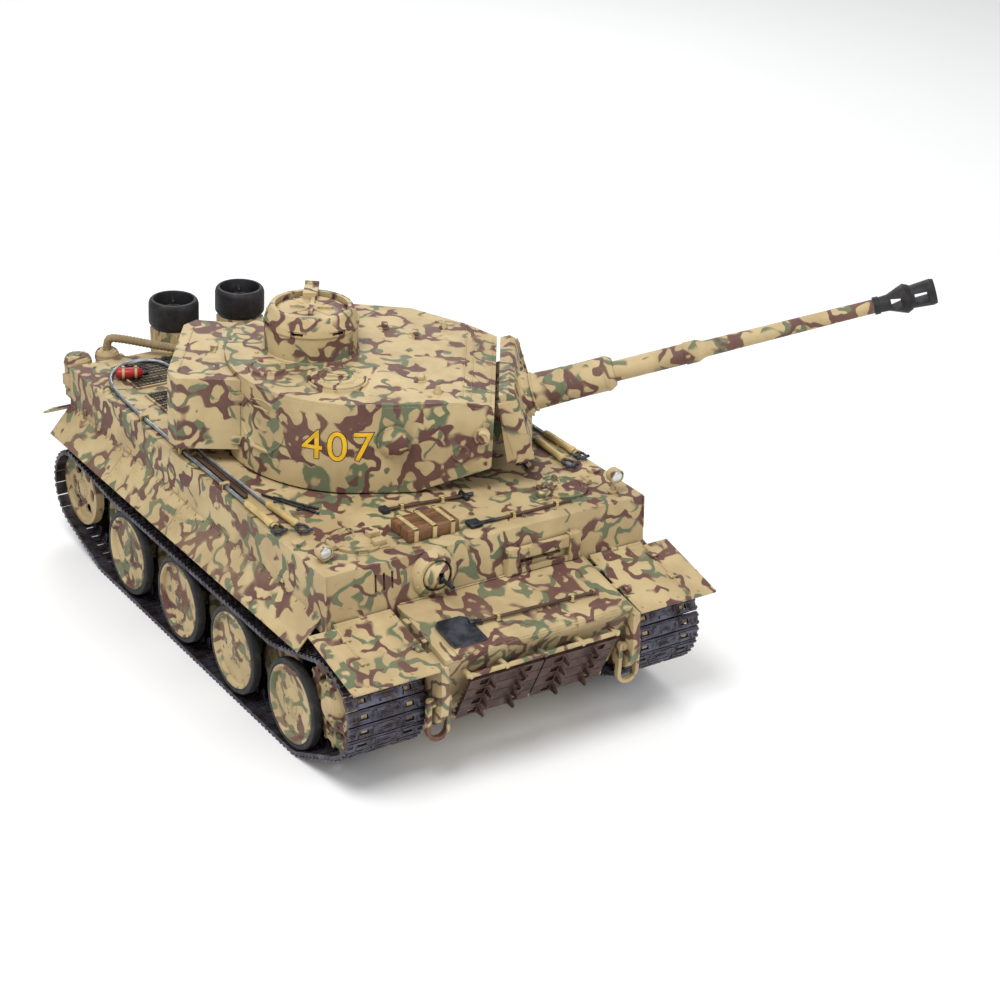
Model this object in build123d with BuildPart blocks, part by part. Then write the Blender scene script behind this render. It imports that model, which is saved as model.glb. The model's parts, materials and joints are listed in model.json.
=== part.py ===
from build123d import *
import math
import os

os.makedirs("parts", exist_ok=True)

# Radio-controlled heavy tank, 1:16. Millimetres, +X forward, +Y left, +Z up,
# origin on the ground under the turret's axis.

# --- hull ---
HULL_W = 201.4          # over the upper side plates
TUB_W = 116.0           # over the lower hull
REAR_X = -169.9         # rear face of the upper hull
FRONT_X = 136.7         # foot of the driver's plate
FRONT_RAKE = 2.6        # how far its top leans back
FOOT_Z = 83.6           # top of the glacis at the driver's plate
ROOF_Z = 108.8
BELLY_Z = 29.4
SPONSON_Z = 76.0        # underside of the sponsons
NOSE_X = 184.7          # front edge of the glacis
NOSE_Z = 74.5
WALL = 3.0
GAP = 0.3               # between parts that are only laid beside each other
SLIDE = 0.07            # radial clearance of every pin, shaft and pivot

# --- running gear ---
TRACK_Y = 88.2          # middle of each track
TRACK_W = 45.3
LINKS = 96
TEETH = 20
PLATE_T = 1.8           # link plate
GROUSER = 1.0
HORN_Y = 9.4
HORN_H = 6.4
RING_Y = 13.4           # middle of each toothed ring from the track's middle
WHEEL_R = 25.1
RIM_R = 21.6
WHEEL_PITCH = 32.2
FIRST_AXLE_X = 116.9
AXLES = 8
AXLE_R = 2.0
SPROCKET_X = 152.0
SPROCKET_Z = 44.0
SHAFT_R = 3.0
IDLER_X = -150.0
IDLER_Z = 37.0
IDLER_R = 22.0

# --- turret, built facing +X and turned to rest at the end ---
TURN_REST = 55.4
TURRET_R = 72.0
TURRET_Z = 110.0        # foot of the wall
TURRET_ROOF_Z = 162.0
TURRET_FRONT_X = 75.0
TURRET_WALL = 3.5
ROOF_T = 2.0
RING_R = 56.4           # turret skirt that drops through the hull roof
RING_TEETH = 60
PINION_TEETH = 10
MESH_R = 52.0
CUPOLA = (-29.0, 6.0)
CUPOLA_R = 26.5
CUPOLA_H = 24.0
LOADER = (-10.5, -41.5)
LOADER_R = 15.0

# --- gun, built along +X from the trunnion ---
ELEVATION_REST = 18.5
TRUNNION = (58.0, -3.0, 132.2)
TRUNNION_R = 4.0
GUN_BORE_R = 2.75
BARREL_R = 5.8
MUZZLE_X = 268.1
SLEEVE_R = 9.2
SLEEVE_END = 87.3
MANTLET_X = 27.0
MANTLET_T = 8.0
RECOIL = 10.0

STRAIGHT = Location()
TURRET = Location((0, 0, 0), (0, 0, TURN_REST))
GUN = TURRET * Location(TRUNNION, (0, -ELEVATION_REST, 0))


# --- small makers used throughout ---
def save(piece, name, place=STRAIGHT):
    part = piece.part.moved(place)
    part.label = name
    export_step(part, f"parts/{name}.step")


def block(low, high, mode=Mode.ADD):
    """A box between two corners."""
    centre = tuple((a + b) / 2 for a, b in zip(low, high))
    with Locations(centre):
        Box(*[b - a for a, b in zip(low, high)], mode=mode)


def rod(start, end, radius, mode=Mode.ADD):
    """A round bar between two points."""
    run = Vector(*end) - Vector(*start)
    with BuildSketch(Plane(origin=start, z_dir=run)) as disc:
        Circle(radius)
    extrude(disc.sketch, amount=run.length, mode=mode)


def slab(plane, points, amount, mode=Mode.ADD, both=False):
    """A flat outline pushed out of its plane."""
    with BuildSketch(plane) as outline:
        with BuildLine():
            Polyline(*points, close=True)
        make_face()
    extrude(outline.sketch, amount=amount, both=both, mode=mode)


def turned(origin, axis_dir, up, outline, mode=Mode.ADD):
    """An outline of (distance along the axis, radius) turned about that axis."""
    side = Vector(*axis_dir).cross(Vector(*up))
    with BuildSketch(Plane(origin=origin, x_dir=axis_dir, z_dir=side)) as section:
        with BuildLine():
            Polyline(*outline, close=True)
        make_face()
    revolve(section.sketch, axis=Axis(origin, axis_dir), mode=mode)


def along_y(origin, side, outline, mode=Mode.ADD):
    turned(origin, (0, side, 0), (0, 0, 1), outline, mode)


def along_z(origin, outline, mode=Mode.ADD):
    turned(origin, (0, 0, 1), (1, 0, 0), outline, mode)


def along_x(origin, outline, mode=Mode.ADD):
    turned(origin, (1, 0, 0), (0, 0, 1), outline, mode)


def glacis_z(x):
    return FOOT_Z + (x - FRONT_X) * (NOSE_Z - FOOT_Z) / (NOSE_X - FRONT_X)


SIDES = {"right": -1, "left": 1}
HALF_W = HULL_W / 2
HALF_TUB = TUB_W / 2

# --- lower hull: an open tub with the final drives and the towing ears ---
NOSE_FOOT = (167.5, 33.0)
REAR_FOOT_X = REAR_X + 9.0
GLACIS_T = 3.0
EAR_T = 4.5
EAR_HOLE_R = 2.6
FRONT_EAR = (182.0, 50.0)
REAR_EAR = (-180.0, 47.0)
DRIVE_R = 11.5
DRIVE_REACH = 72.0
tub_top = SPONSON_Z - 0.1
tub = [
    (REAR_FOOT_X, BELLY_Z),
    (NOSE_FOOT[0] - 9, BELLY_Z),
    NOSE_FOOT,
    (NOSE_X - 0.6, NOSE_Z - GLACIS_T - 0.2),
    (FRONT_X + 1, glacis_z(FRONT_X + 1) - GLACIS_T - 0.2),
    (FRONT_X + 1, tub_top),
    (REAR_X, tub_top),
]
tub_inner = [
    (REAR_FOOT_X + WALL, BELLY_Z + WALL),
    (NOSE_FOOT[0] - 10, BELLY_Z + WALL),
    (NOSE_FOOT[0] - WALL, NOSE_FOOT[1] + 2),
    (NOSE_X - WALL - 1.5, NOSE_Z),
    (NOSE_X - WALL - 1.5, ROOF_Z),
    (REAR_X + WALL, ROOF_Z),
    (REAR_X + WALL, tub_top - 2),
]
with BuildPart() as lower_hull:
    slab(Plane.XZ, tub, HALF_TUB, both=True)
    slab(Plane.XZ, tub_inner, HALF_TUB - WALL, Mode.SUBTRACT, both=True)
    for side in SIDES.values():
        rod((SPROCKET_X, side * (HALF_TUB - WALL), SPROCKET_Z),
            (SPROCKET_X, side * DRIVE_REACH, SPROCKET_Z), DRIVE_R)
        rod((SPROCKET_X, side * (HALF_TUB - 8), SPROCKET_Z),
            (SPROCKET_X, side * (DRIVE_REACH + 1), SPROCKET_Z), SHAFT_R + SLIDE, Mode.SUBTRACT)
        ear_plane = Plane(origin=(0, side * HALF_TUB, 0), x_dir=(1, 0, 0), z_dir=(0, -1, 0))
        ear = [(172, 36), (176, 34.5), (183, 37), (188, 44), (188.6, 52), (186.8, 70.8), (172, 73.4)]
        slab(ear_plane, ear, -side * EAR_T)
        slab(ear_plane, [(REAR_X + 8, 38), (REAR_X - 11, 41), (REAR_X - 14.5, 47),
                         (REAR_X - 11, 53), (REAR_X + 2, 58)], -side * EAR_T)
        for x, z in (FRONT_EAR, REAR_EAR):
            rod((x, side * (HALF_TUB - 2), z), (x, side * (HALF_TUB + EAR_T + 1), z),
                EAR_HOLE_R, Mode.SUBTRACT)
save(lower_hull, "lower_hull")

# --- upper hull: sponsons, driver's plate and roof in one casting ---
ROOF_PLATE = 2.5
HATCH_R = 14.0
HATCHES = {"right": (107.5, -66.0), "left": (106.0, 66.0)}
DECK_X = (-165.0, -72.0)
DECK_HALF = 95.0
DECK_T = 1.6
GUN_PORT = (-36.0, 96.0)
BALL_R = 8.6
VISOR_Y = 32.0
VISOR_Z = 90.0
VISOR_FOOT_Z = FOOT_Z + GAP
HINGE_X = FRONT_X + 2.0
HINGE_Z = 82.0
GUARD_PIN_R = 0.55
LUG_Y = 80.0
SIDE_T = 2.2


def front_x(z, inset=0.0):
    return FRONT_X - (z - FOOT_Z) * FRONT_RAKE / (ROOF_Z - FOOT_Z) - inset


def hull_section(inset, floor, roof):
    return [(REAR_X + inset, floor), (front_x(floor, inset), floor),
            (front_x(roof, inset), roof), (REAR_X + inset, roof)]


with BuildPart() as upper_hull:
    slab(Plane.XZ, hull_section(0, SPONSON_Z, ROOF_Z), HALF_W, both=True)
    slab(Plane.XZ, hull_section(WALL, SPONSON_Z + 2, ROOF_Z - ROOF_PLATE),
         HALF_W - SIDE_T, Mode.SUBTRACT, both=True)
    block((REAR_X + WALL, -HALF_TUB + WALL, SPONSON_Z - 1),
          (front_x(SPONSON_Z, WALL), HALF_TUB - WALL, SPONSON_Z + 3), Mode.SUBTRACT)
    rod((0, 0, ROOF_Z - 5), (0, 0, ROOF_Z + 1), RING_R + 0.6, Mode.SUBTRACT)
    for x, y in HATCHES.values():
        rod((x, y, ROOF_Z - 5), (x, y, ROOF_Z + 1), HATCH_R - 1.6, Mode.SUBTRACT)
        rod((x, y, ROOF_Z - 1.0), (x, y, ROOF_Z + 1), HATCH_R + GAP, Mode.SUBTRACT)
    block((DECK_X[0], -DECK_HALF, ROOF_Z - DECK_T), (DECK_X[1], DECK_HALF, ROOF_Z + 1), Mode.SUBTRACT)
    block((DECK_X[0] + 3, -DECK_HALF + 3, ROOF_Z - 5),
          (DECK_X[1] - 3, DECK_HALF - 3, ROOF_Z + 1), Mode.SUBTRACT)
    rod((FRONT_X - 10, GUN_PORT[0], GUN_PORT[1]), (FRONT_X + 4, GUN_PORT[0], GUN_PORT[1]),
        BALL_R + GAP, Mode.SUBTRACT)
    block((FRONT_X - 8, VISOR_Y - 13, VISOR_Z - 1.8), (FRONT_X + 3, VISOR_Y + 13, VISOR_Z + 1.8),
          Mode.SUBTRACT)
    for step in range(3):
        y = -70.8 + 5 * step
        block((FRONT_X - 8, y - 0.7, 93), (FRONT_X + 2, y + 0.7, 103), Mode.SUBTRACT)
    collar_x = front_x(GUN_PORT[1])
    along_x((collar_x - 0.5, *GUN_PORT),
            [(0, BALL_R + GAP), (0, 14), (2.4, 13.2), (4.6, 10.6), (4.6, BALL_R + GAP)])
    rod((collar_x - 6, *GUN_PORT), (collar_x + 9, *GUN_PORT), BALL_R + GAP, Mode.SUBTRACT)
    block((FRONT_X + 0.3, GUN_PORT[0] - 16, FOOT_Z - 4), (FRONT_X + 8, GUN_PORT[0] + 16, FOOT_Z + 0.2),
          Mode.SUBTRACT)
    face = front_x(VISOR_Z)
    for block_y in (VISOR_Y - 20, VISOR_Y + 20):
        block((face - 1.5, block_y - 3.5, VISOR_FOOT_Z), (face + 3.6, block_y + 3.5, VISOR_Z + 9.5))
    block((face - 1.5, VISOR_Y - 16.8, VISOR_FOOT_Z), (face + 3.2, VISOR_Y + 16.8, VISOR_Z - 3.2))
    for side in SIDES.values():
        lug = sorted((side * (LUG_Y - 1.6), side * (LUG_Y + 1.6)))
        block((FRONT_X - 1, lug[0], HINGE_Z - 1), (HINGE_X + 0.5, lug[1], HINGE_Z + 1))
        rod((HINGE_X, side * (LUG_Y - 16), HINGE_Z), (HINGE_X, side * (LUG_Y + 16), HINGE_Z),
            GUARD_PIN_R)
save(upper_hull, "upper_hull")

# --- glacis with its edge strip ---
GLACIS_HALF = 59.0
glacis = [(FRONT_X + 0.5, glacis_z(FRONT_X + 0.5)), (NOSE_X, NOSE_Z),
          (NOSE_X - 0.7, NOSE_Z - GLACIS_T), (FRONT_X + 0.5, glacis_z(FRONT_X + 0.5) - GLACIS_T)]
with BuildPart() as glacis_plate:
    slab(Plane.XZ, glacis, GLACIS_HALF, both=True)
    strip = [(NOSE_X - 8, glacis_z(NOSE_X - 8) - 0.3), (NOSE_X - 7.6, glacis_z(NOSE_X - 8) + 0.7),
             (NOSE_X - 0.8, NOSE_Z + 0.8), (NOSE_X - 0.8, NOSE_Z - 0.3)]
    slab(Plane.XZ, strip, GLACIS_HALF - 8, both=True)
save(glacis_plate, "glacis_plate")

# --- engine deck: a centre hatch between louvred side panels ---
DECK_FIT = 0.15
with BuildPart() as engine_deck:
    block((DECK_X[0] + DECK_FIT, -DECK_HALF + DECK_FIT, ROOF_Z - DECK_T),
          (DECK_X[1] - DECK_FIT, DECK_HALF - DECK_FIT, ROOF_Z))
    block((-156, -27, ROOF_Z - 0.1), (-92, 27, ROOF_Z + 1.4))
    for side in SIDES.values():
        for x0 in (-158, -112):
            for bar in range(9):
                x = x0 + 3.2 + bar * 3.6
                lane = sorted((side * 40, side * 78))
                block((x, lane[0], ROOF_Z - DECK_T - 1), (x + 1.9, lane[1], ROOF_Z + 1), Mode.SUBTRACT)
    for y in (-20, 20):
        rod((-151, y, ROOF_Z + 1.2), (-151, y, ROOF_Z + 2.6), 3.0)
save(engine_deck, "engine_deck")

# --- side skirts: four thin panels on each side, and the rear mudguard ---
PANELS = 4
SKIRT_FRONT_X = 131.7
SKIRT_Y = 114.7
SKIRT_Z = 68.2
SKIRT_T = 0.9
for name, side in SIDES.items():
    with BuildPart() as side_skirt:
        run = (SKIRT_FRONT_X - REAR_X) / PANELS
        top_y = HALF_W + 0.1
        for panel in range(PANELS):
            plane = Plane(origin=(REAR_X + panel * run, 0, 0), x_dir=(0, side, 0), z_dir=(side, 0, 0))
            outline = [(top_y, FOOT_Z + 0.9), (top_y, FOOT_Z - 0.5), (SKIRT_Y - 0.5, SKIRT_Z - 0.6),
                       (SKIRT_Y, SKIRT_Z)]
            slab(plane, outline, side * (run - GAP))
        rear_plane = Plane(origin=(0, side * (TUB_W / 2 + 8), 0), x_dir=(1, 0, 0), z_dir=(0, -1, 0))
        rear_guard = [(REAR_X - 0.3, FOOT_Z + 1), (REAR_X - 0.3, FOOT_Z - 0.2),
                      (REAR_X - 15, FOOT_Z - 9), (REAR_X - 15.6, FOOT_Z - 8)]
        slab(rear_plane, rear_guard, -side * 46)
    save(side_skirt, f"side_skirt_{name}")

# --- front mudguards: main panel, outer flap and latch, on a hinge tube ---
GUARD_T = 1.1
GUARD_IN_Y = 63.0
GUARD_OUT_Y = 113.8
GUARD_FLAP_Y = 97.5
GUARD_FRONT = (186.8, 70.6)
TUBE_R = 1.15
for name, side in SIDES.items():
    with BuildPart() as mudguard:
        slope = (GUARD_FRONT[1] - HINGE_Z) / (GUARD_FRONT[0] - HINGE_X)

        def guard_plane(y):
            return Plane(origin=(0, side * y, 0), x_dir=(1, 0, 0), z_dir=(0, -1, 0))

        start = HINGE_X + 0.5
        start_z = HINGE_Z + slope * 0.5
        sheet = [(start, start_z + GUARD_T / 2), (start, start_z - GUARD_T / 2),
                 (GUARD_FRONT[0], GUARD_FRONT[1] - GUARD_T / 2),
                 (GUARD_FRONT[0], GUARD_FRONT[1] + GUARD_T / 2)]
        slab(guard_plane(GUARD_IN_Y), sheet, -side * (GUARD_FLAP_Y - GUARD_IN_Y))
        flap = [(start + 2, sheet[0][1] - 0.4), (start + 2, sheet[1][1]), sheet[2], sheet[3]]
        slab(guard_plane(GUARD_FLAP_Y), flap, -side * (GUARD_OUT_Y - GUARD_FLAP_Y))
        rod((start + 3, side * GUARD_FLAP_Y, start_z + 0.1),
            (GUARD_FRONT[0] - 3, side * GUARD_FLAP_Y, GUARD_FRONT[1] + 1.0), 0.8)
        for low, high in ((GUARD_IN_Y, LUG_Y - 2), (LUG_Y + 2, GUARD_FLAP_Y)):
            rod((HINGE_X, side * low, HINGE_Z), (HINGE_X, side * high, HINGE_Z), TUBE_R)
        lug_cut = sorted((side * (LUG_Y - 2), side * (LUG_Y + 2)))
        block((HINGE_X - 3, lug_cut[0], HINGE_Z - 3), (HINGE_X + 1.2, lug_cut[1], HINGE_Z + 3),
              Mode.SUBTRACT)
        rod((HINGE_X, side * (GUARD_IN_Y - 1), HINGE_Z), (HINGE_X, side * (GUARD_OUT_Y + 1), HINGE_Z),
            GUARD_PIN_R + SLIDE, Mode.SUBTRACT)
    save(mudguard, f"mudguard_{name}")


# --- track: a loop round the sprocket, the wheels and the idler ---
def outer_tangent(centre_a, radius_a, centre_b, radius_b, turn):
    """Touching points of the belt line on the turn side of the way from a to b."""
    run = Vector(*centre_b) - Vector(*centre_a)
    lean = math.degrees(math.acos((radius_a - radius_b) / run.length))
    normal = run.normalized().rotate(Axis.Z, turn * lean)
    return Vector(*centre_a) + normal * radius_a, Vector(*centre_b) + normal * radius_b


def angle_at(centre, point):
    return math.degrees(math.atan2(point.Y - centre[1], point.X - centre[0]))


RIDE = GAP + PLATE_T / 2
WHEEL_Z = GROUSER + PLATE_T + GAP + WHEEL_R
LAST_AXLE_X = FIRST_AXLE_X - (AXLES - 1) * WHEEL_PITCH
front_wheel = (FIRST_AXLE_X, WHEEL_Z)
rear_wheel = (LAST_AXLE_X, WHEEL_Z)
sprocket_at = (SPROCKET_X, SPROCKET_Z)
idler_at = (IDLER_X, IDLER_Z)
wheel_belt = WHEEL_R + RIDE
idler_belt = IDLER_R + RIDE
top_z = WHEEL_Z + wheel_belt
SAG_R = 55.0
landing = Vector(FIRST_AXLE_X - 18, top_z)
lifting = Vector(LAST_AXLE_X + 16, top_z)


def belt(pitch_r):
    """The middle line of the link plates, for a sprocket of that pitch radius."""
    front_low, front_high = outer_tangent(front_wheel, wheel_belt, sprocket_at, pitch_r, -1)
    _, crown = outer_tangent((landing.X, landing.Y), 0, sprocket_at, pitch_r, 1)
    _, idler_top = outer_tangent((lifting.X, lifting.Y), 0, idler_at, idler_belt, -1)
    rear_low, idler_low = outer_tangent(rear_wheel, wheel_belt, idler_at, idler_belt, 1)
    with BuildLine() as line:
        Line((LAST_AXLE_X, WHEEL_Z - wheel_belt), (FIRST_AXLE_X, WHEEL_Z - wheel_belt))
        CenterArc(front_wheel, wheel_belt, -90, angle_at(front_wheel, front_low) + 90)
        Line(front_low, front_high)
        first = angle_at(sprocket_at, front_high)
        CenterArc(sprocket_at, pitch_r, first, angle_at(sprocket_at, crown) - first)
        FilletPolyline(crown, landing, lifting, idler_top, radius=SAG_R)
        first = angle_at(idler_at, idler_top)
        CenterArc(idler_at, idler_belt, first, (angle_at(idler_at, idler_low) - first) % 360)
        Line(idler_low, rear_low)
        first = angle_at(rear_wheel, rear_low)
        CenterArc(rear_wheel, wheel_belt, first, (-90 - first) % 360)
    return line.wires()[0]


sprocket_r = 25.9
for _ in range(12):
    loop = belt(sprocket_r)
    pitch = loop.length / LINKS
    sprocket_r = TEETH * pitch / (2 * math.pi)
print(f"track pitch {pitch:.3f}, loop {loop.length:.1f}, sprocket pitch radius {sprocket_r:.3f}")

LINK_GAP = 0.7
WINDOW = (4.4, 5.0)
with BuildPart() as link:
    Box(pitch - LINK_GAP, TRACK_W, PLATE_T)
    for y in (-RING_Y, RING_Y):
        with Locations((0, y, 0)):
            Box(WINDOW[0], WINDOW[1], PLATE_T + 1, mode=Mode.SUBTRACT)
    for x in (-2.0, 2.0):
        block((x - 0.7, -TRACK_W / 2, PLATE_T / 2), (x + 0.7, TRACK_W / 2, PLATE_T / 2 + GROUSER))
    for y in (-HORN_Y, HORN_Y):
        horn = Plane(origin=(0, y - 1, 0), x_dir=(1, 0, 0), z_dir=(0, 1, 0))
        foot = PLATE_T / 2 - 0.1
        slab(horn, [(-2.6, foot), (2.6, foot), (1.1, HORN_H), (-1.1, HORN_H)], 2)

places = []
for index in range(LINKS):
    spot = loop.position_at(index / LINKS)
    way = loop.tangent_at(index / LINKS)
    places.append((spot, way))
front_link = max(places, key=lambda place: place[0].X)
tooth_angle = angle_at(sprocket_at, front_link[0])
for name, side in SIDES.items():
    with BuildPart() as track:
        spots = [Location(Plane(origin=(spot.X, side * TRACK_Y, spot.Y), x_dir=(way.X, 0, way.Y),
                                z_dir=(way.Y, 0, -way.X))) for spot, way in places]
        with Locations(*spots):
            add(link.part)
    save(track, f"track_{name}")

# --- spare links on the nose, two columns of four ---
nose_run = Vector(NOSE_X - NOSE_FOOT[0], 0, NOSE_Z - 3 - NOSE_FOOT[1])
nose_up = nose_run.normalized()
nose_out = nose_up.cross(Vector(0, 1, 0)) * -1
with BuildPart() as spare_track_links:
    spots = []
    for row in range(4):
        low = Vector(NOSE_FOOT[0], 0, NOSE_FOOT[1]) + nose_up * (6.5 + row * (pitch + 0.1)) + nose_out * 7.8
        for y in (-TRACK_W / 2 - 0.6, TRACK_W / 2 + 0.6):
            spots.append(Location(Plane(origin=(low.X, y, low.Z), x_dir=nose_up, z_dir=nose_out)))
    with Locations(*spots):
        add(link.part)
save(spare_track_links, "spare_track_links")

# --- swing arms with their axles, and the idler cranks ---
ARM_Y = (HALF_TUB + 1.2, HALF_TUB + 5.4)
ARM_DROP = (11.0, 13.0)
OUTER_DISC = (16.0, 21.8)
INNER_DISC = (2.2, 7.2)
CAP_T = 3.8
IDLER_RIM = (11.4, 16.6)


def disc_of(axle):
    return OUTER_DISC if axle % 2 == 0 else INNER_DISC


with BuildPart() as swing_arms:
    for side in SIDES.values():
        arms = [(FIRST_AXLE_X - axle * WHEEL_PITCH, WHEEL_Z, ARM_DROP, disc_of(axle)[1])
                for axle in range(AXLES)]
        arms.append((IDLER_X, IDLER_Z, (-9.0, 6.0), IDLER_RIM[1]))
        for x, z, (back, up), reach in arms:
            plane = Plane(origin=(0, side * ARM_Y[0], 0), x_dir=(1, 0, 0), z_dir=(0, side, 0))
            flip = -side
            with BuildSketch(plane):
                with Locations((x, flip * z), (x - back, flip * (z + up))):
                    Circle(3.6)
                make_hull()
            extrude(amount=ARM_Y[1] - ARM_Y[0])
            rod((x, side * ARM_Y[1], z), (x, side * (TRACK_Y + reach - CAP_T - 0.4), z), AXLE_R)
            rod((x - back, side * HALF_TUB, z + up), (x - back, side * ARM_Y[0], z + up), 2.8)
save(swing_arms, "swing_arms")


# --- road wheels: dished discs on one hub, each disc with a rubber tyre ---
def wheel_outline(disc, bore):
    near, far = disc
    dish = [(far, RIM_R), (far, RIM_R - 1.2), (far - 2.6, RIM_R - 2.4), (far - 2.6, 7.0),
            (far - 1.2, 5.6)]
    inboard = [(-u, r) for u, r in reversed(dish)]
    cap = [(far - 0.8, 5.6), (far - 0.4, 3.4), (far - 0.4, 0), (far - CAP_T, 0), (far - CAP_T, bore)]
    web = [(near + 0.6, 4.6), (near + 0.6, RIM_R - 2.2), (near, RIM_R - 2.2), (near, RIM_R)]
    inboard_web = [(-u, r) for u, r in reversed(web)]
    return web + dish + cap + [(-(far - 1.2), bore)] + inboard + inboard_web


for name, side in SIDES.items():
    for axle in range(AXLES):
        at = (FIRST_AXLE_X - axle * WHEEL_PITCH, side * TRACK_Y, WHEEL_Z)
        disc = disc_of(axle)
        with BuildPart() as wheel:
            along_y(at, side, wheel_outline(disc, AXLE_R + SLIDE))
            for sign in (-1, 1):
                low, high = sorted((sign * (disc[0] + 0.2), sign * (disc[1] - 0.1)))
                along_y(at, side, [(low, RIM_R + 0.02), (low, WHEEL_R - 0.6), (low + 0.6, WHEEL_R),
                                   (high - 0.6, WHEEL_R), (high, WHEEL_R - 0.6), (high, RIM_R + 0.02)])
        save(wheel, f"road_wheel_{name}_{axle + 1}")

# --- sprockets: two toothed rings on one hub, with their drive shaft ---
ROOT_R = sprocket_r - PLATE_T / 2 - 0.6
TIP_R = sprocket_r + PLATE_T / 2 - 0.3
RING_T = 3.4


def tooth_outline():
    points = []
    for tooth in range(TEETH):
        mid = tooth_angle + tooth * 360 / TEETH
        for offset, radius in ((-4.2, ROOT_R), (-2.2, TIP_R), (2.2, TIP_R), (4.2, ROOT_R)):
            turn = math.radians(mid + offset)
            points.append((radius * math.cos(turn), radius * math.sin(turn)))
    return points


for name, side in SIDES.items():
    with BuildPart() as sprocket:
        for sign in (-1, 1):
            face = Plane(origin=(SPROCKET_X, side * TRACK_Y + sign * RING_Y + RING_T / 2, SPROCKET_Z),
                         x_dir=(1, 0, 0), z_dir=(0, -1, 0))
            slab(face, tooth_outline(), RING_T)
            with BuildSketch(face):
                with PolarLocations(16.2, 10):
                    SlotCenterToCenter(4.4, 4.2, rotation=90)
            extrude(amount=RING_T, mode=Mode.SUBTRACT)
            if side * sign > 0:
                cup = [(RING_Y, 0), (RING_Y, 10.5), (RING_Y + 3.4, 9.0), (RING_Y + 6.4, 6.4),
                       (RING_Y + 6.4, 0)]
                along_y((SPROCKET_X, side * TRACK_Y, SPROCKET_Z), side, cup)
        rod((SPROCKET_X, side * (TRACK_Y - RING_Y - RING_T / 2), SPROCKET_Z),
            (SPROCKET_X, side * (TRACK_Y + RING_Y), SPROCKET_Z), 7.5)
        rod((SPROCKET_X, side * (HALF_TUB - 7), SPROCKET_Z),
            (SPROCKET_X, side * (TRACK_Y - RING_Y), SPROCKET_Z), SHAFT_R)
    save(sprocket, f"sprocket_{name}")

# --- idlers: two open rims on one hub ---
for name, side in SIDES.items():
    at = (IDLER_X, side * TRACK_Y, IDLER_Z)
    near, far = IDLER_RIM
    with BuildPart() as idler:
        half = [(near, 5.0), (near + 1.8, 5.0), (near + 1.8, IDLER_R - 3.2), (near, IDLER_R - 2.4),
                (near, IDLER_R), (far, IDLER_R), (far, IDLER_R - 2.4), (near + 3.4, IDLER_R - 3.4),
                (near + 3.4, 6.4), (far - 0.8, 5.6)]
        bore = AXLE_R + SLIDE
        cap = [(far - 0.4, 3.4), (far - 0.4, 0), (far - CAP_T, 0), (far - CAP_T, bore), (-far, bore)]
        mirrored = [(-u, r) for u, r in reversed(half)]
        along_y(at, side, half[1:] + cap + mirrored[:-1])
        for sign in (-1, 1):
            edge = side * TRACK_Y + sign * (near + 2.6)
            with BuildSketch(Plane(origin=(IDLER_X, edge, IDLER_Z), x_dir=(1, 0, 0), z_dir=(0, 1, 0))):
                with PolarLocations(12.2, 6):
                    SlotCenterToCenter(3.4, 5.0, rotation=90)
            extrude(amount=4, both=True, mode=Mode.SUBTRACT)
    save(idler, f"idler_{name}")

# --- hull hatches: lid, handle and periscope hood, hinged at the outer edge ---
for name, side in SIDES.items():
    x, y = HATCHES[name]
    with BuildPart() as hull_hatch:
        rod((x, y, ROOF_Z - 0.9), (x, y, ROOF_Z + 1.5), HATCH_R)
        block((x - 3.4, y - side * 9 - 3.2, ROOF_Z + 1.4), (x + 3.4, y - side * 9 + 3.2, ROOF_Z + 4.8))
        fillet(hull_hatch.edges().filter_by(Axis.Z).group_by(Axis.Z)[-1], 0.6)
        rod((x - 4, y + side * (HATCH_R + 1.6), ROOF_Z + 1.9),
            (x + 4, y + side * (HATCH_R + 1.6), ROOF_Z + 1.9), 1.4)
        arm = sorted((y + side * (HATCH_R - 3), y + side * (HATCH_R + 1.8)))
        block((x - 4, arm[0], ROOF_Z + 0.9), (x + 4, arm[1], ROOF_Z + 2.1))
    save(hull_hatch, f"hull_hatch_{name}")

# --- bow machine gun: ball that turns in its collar, barrel that tips in the ball ---
SLOT = (3.2, 6.6)
BALL_CUT = 126.0        # where the ball's back is cut flat, from its front
with BuildPart() as bow_gun_ball:
    with BuildSketch(Plane(origin=(collar_x, *GUN_PORT), x_dir=(1, 0, 0), z_dir=(0, -1, 0))) as ball:
        with BuildLine():
            CenterArc((0, 0), BALL_R, 0, BALL_CUT)
            Polyline(CenterArc((0, 0), BALL_R, 0, BALL_CUT, mode=Mode.PRIVATE) @ 1,
                     (BALL_R * math.cos(math.radians(BALL_CUT)), 0), (BALL_R, 0))
        make_face()
    revolve(ball.sketch, axis=Axis((collar_x, *GUN_PORT), (1, 0, 0)))
    block((collar_x - 9, GUN_PORT[0] - SLOT[0] / 2, GUN_PORT[1] - SLOT[1] / 2),
          (collar_x + 12, GUN_PORT[0] + SLOT[0] / 2, GUN_PORT[1] + SLOT[1] / 2), Mode.SUBTRACT)
save(bow_gun_ball, "bow_gun_ball")
with BuildPart() as bow_gun_barrel:
    rod((collar_x - 7, *GUN_PORT), (collar_x + 19, *GUN_PORT), 1.15)
    rod((collar_x - 4, *GUN_PORT), (collar_x + 9.6, *GUN_PORT), 1.3)
    rod((collar_x + 5, *GUN_PORT), (collar_x + 19.5, *GUN_PORT), 0.6, Mode.SUBTRACT)
save(bow_gun_barrel, "bow_gun_barrel")

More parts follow.
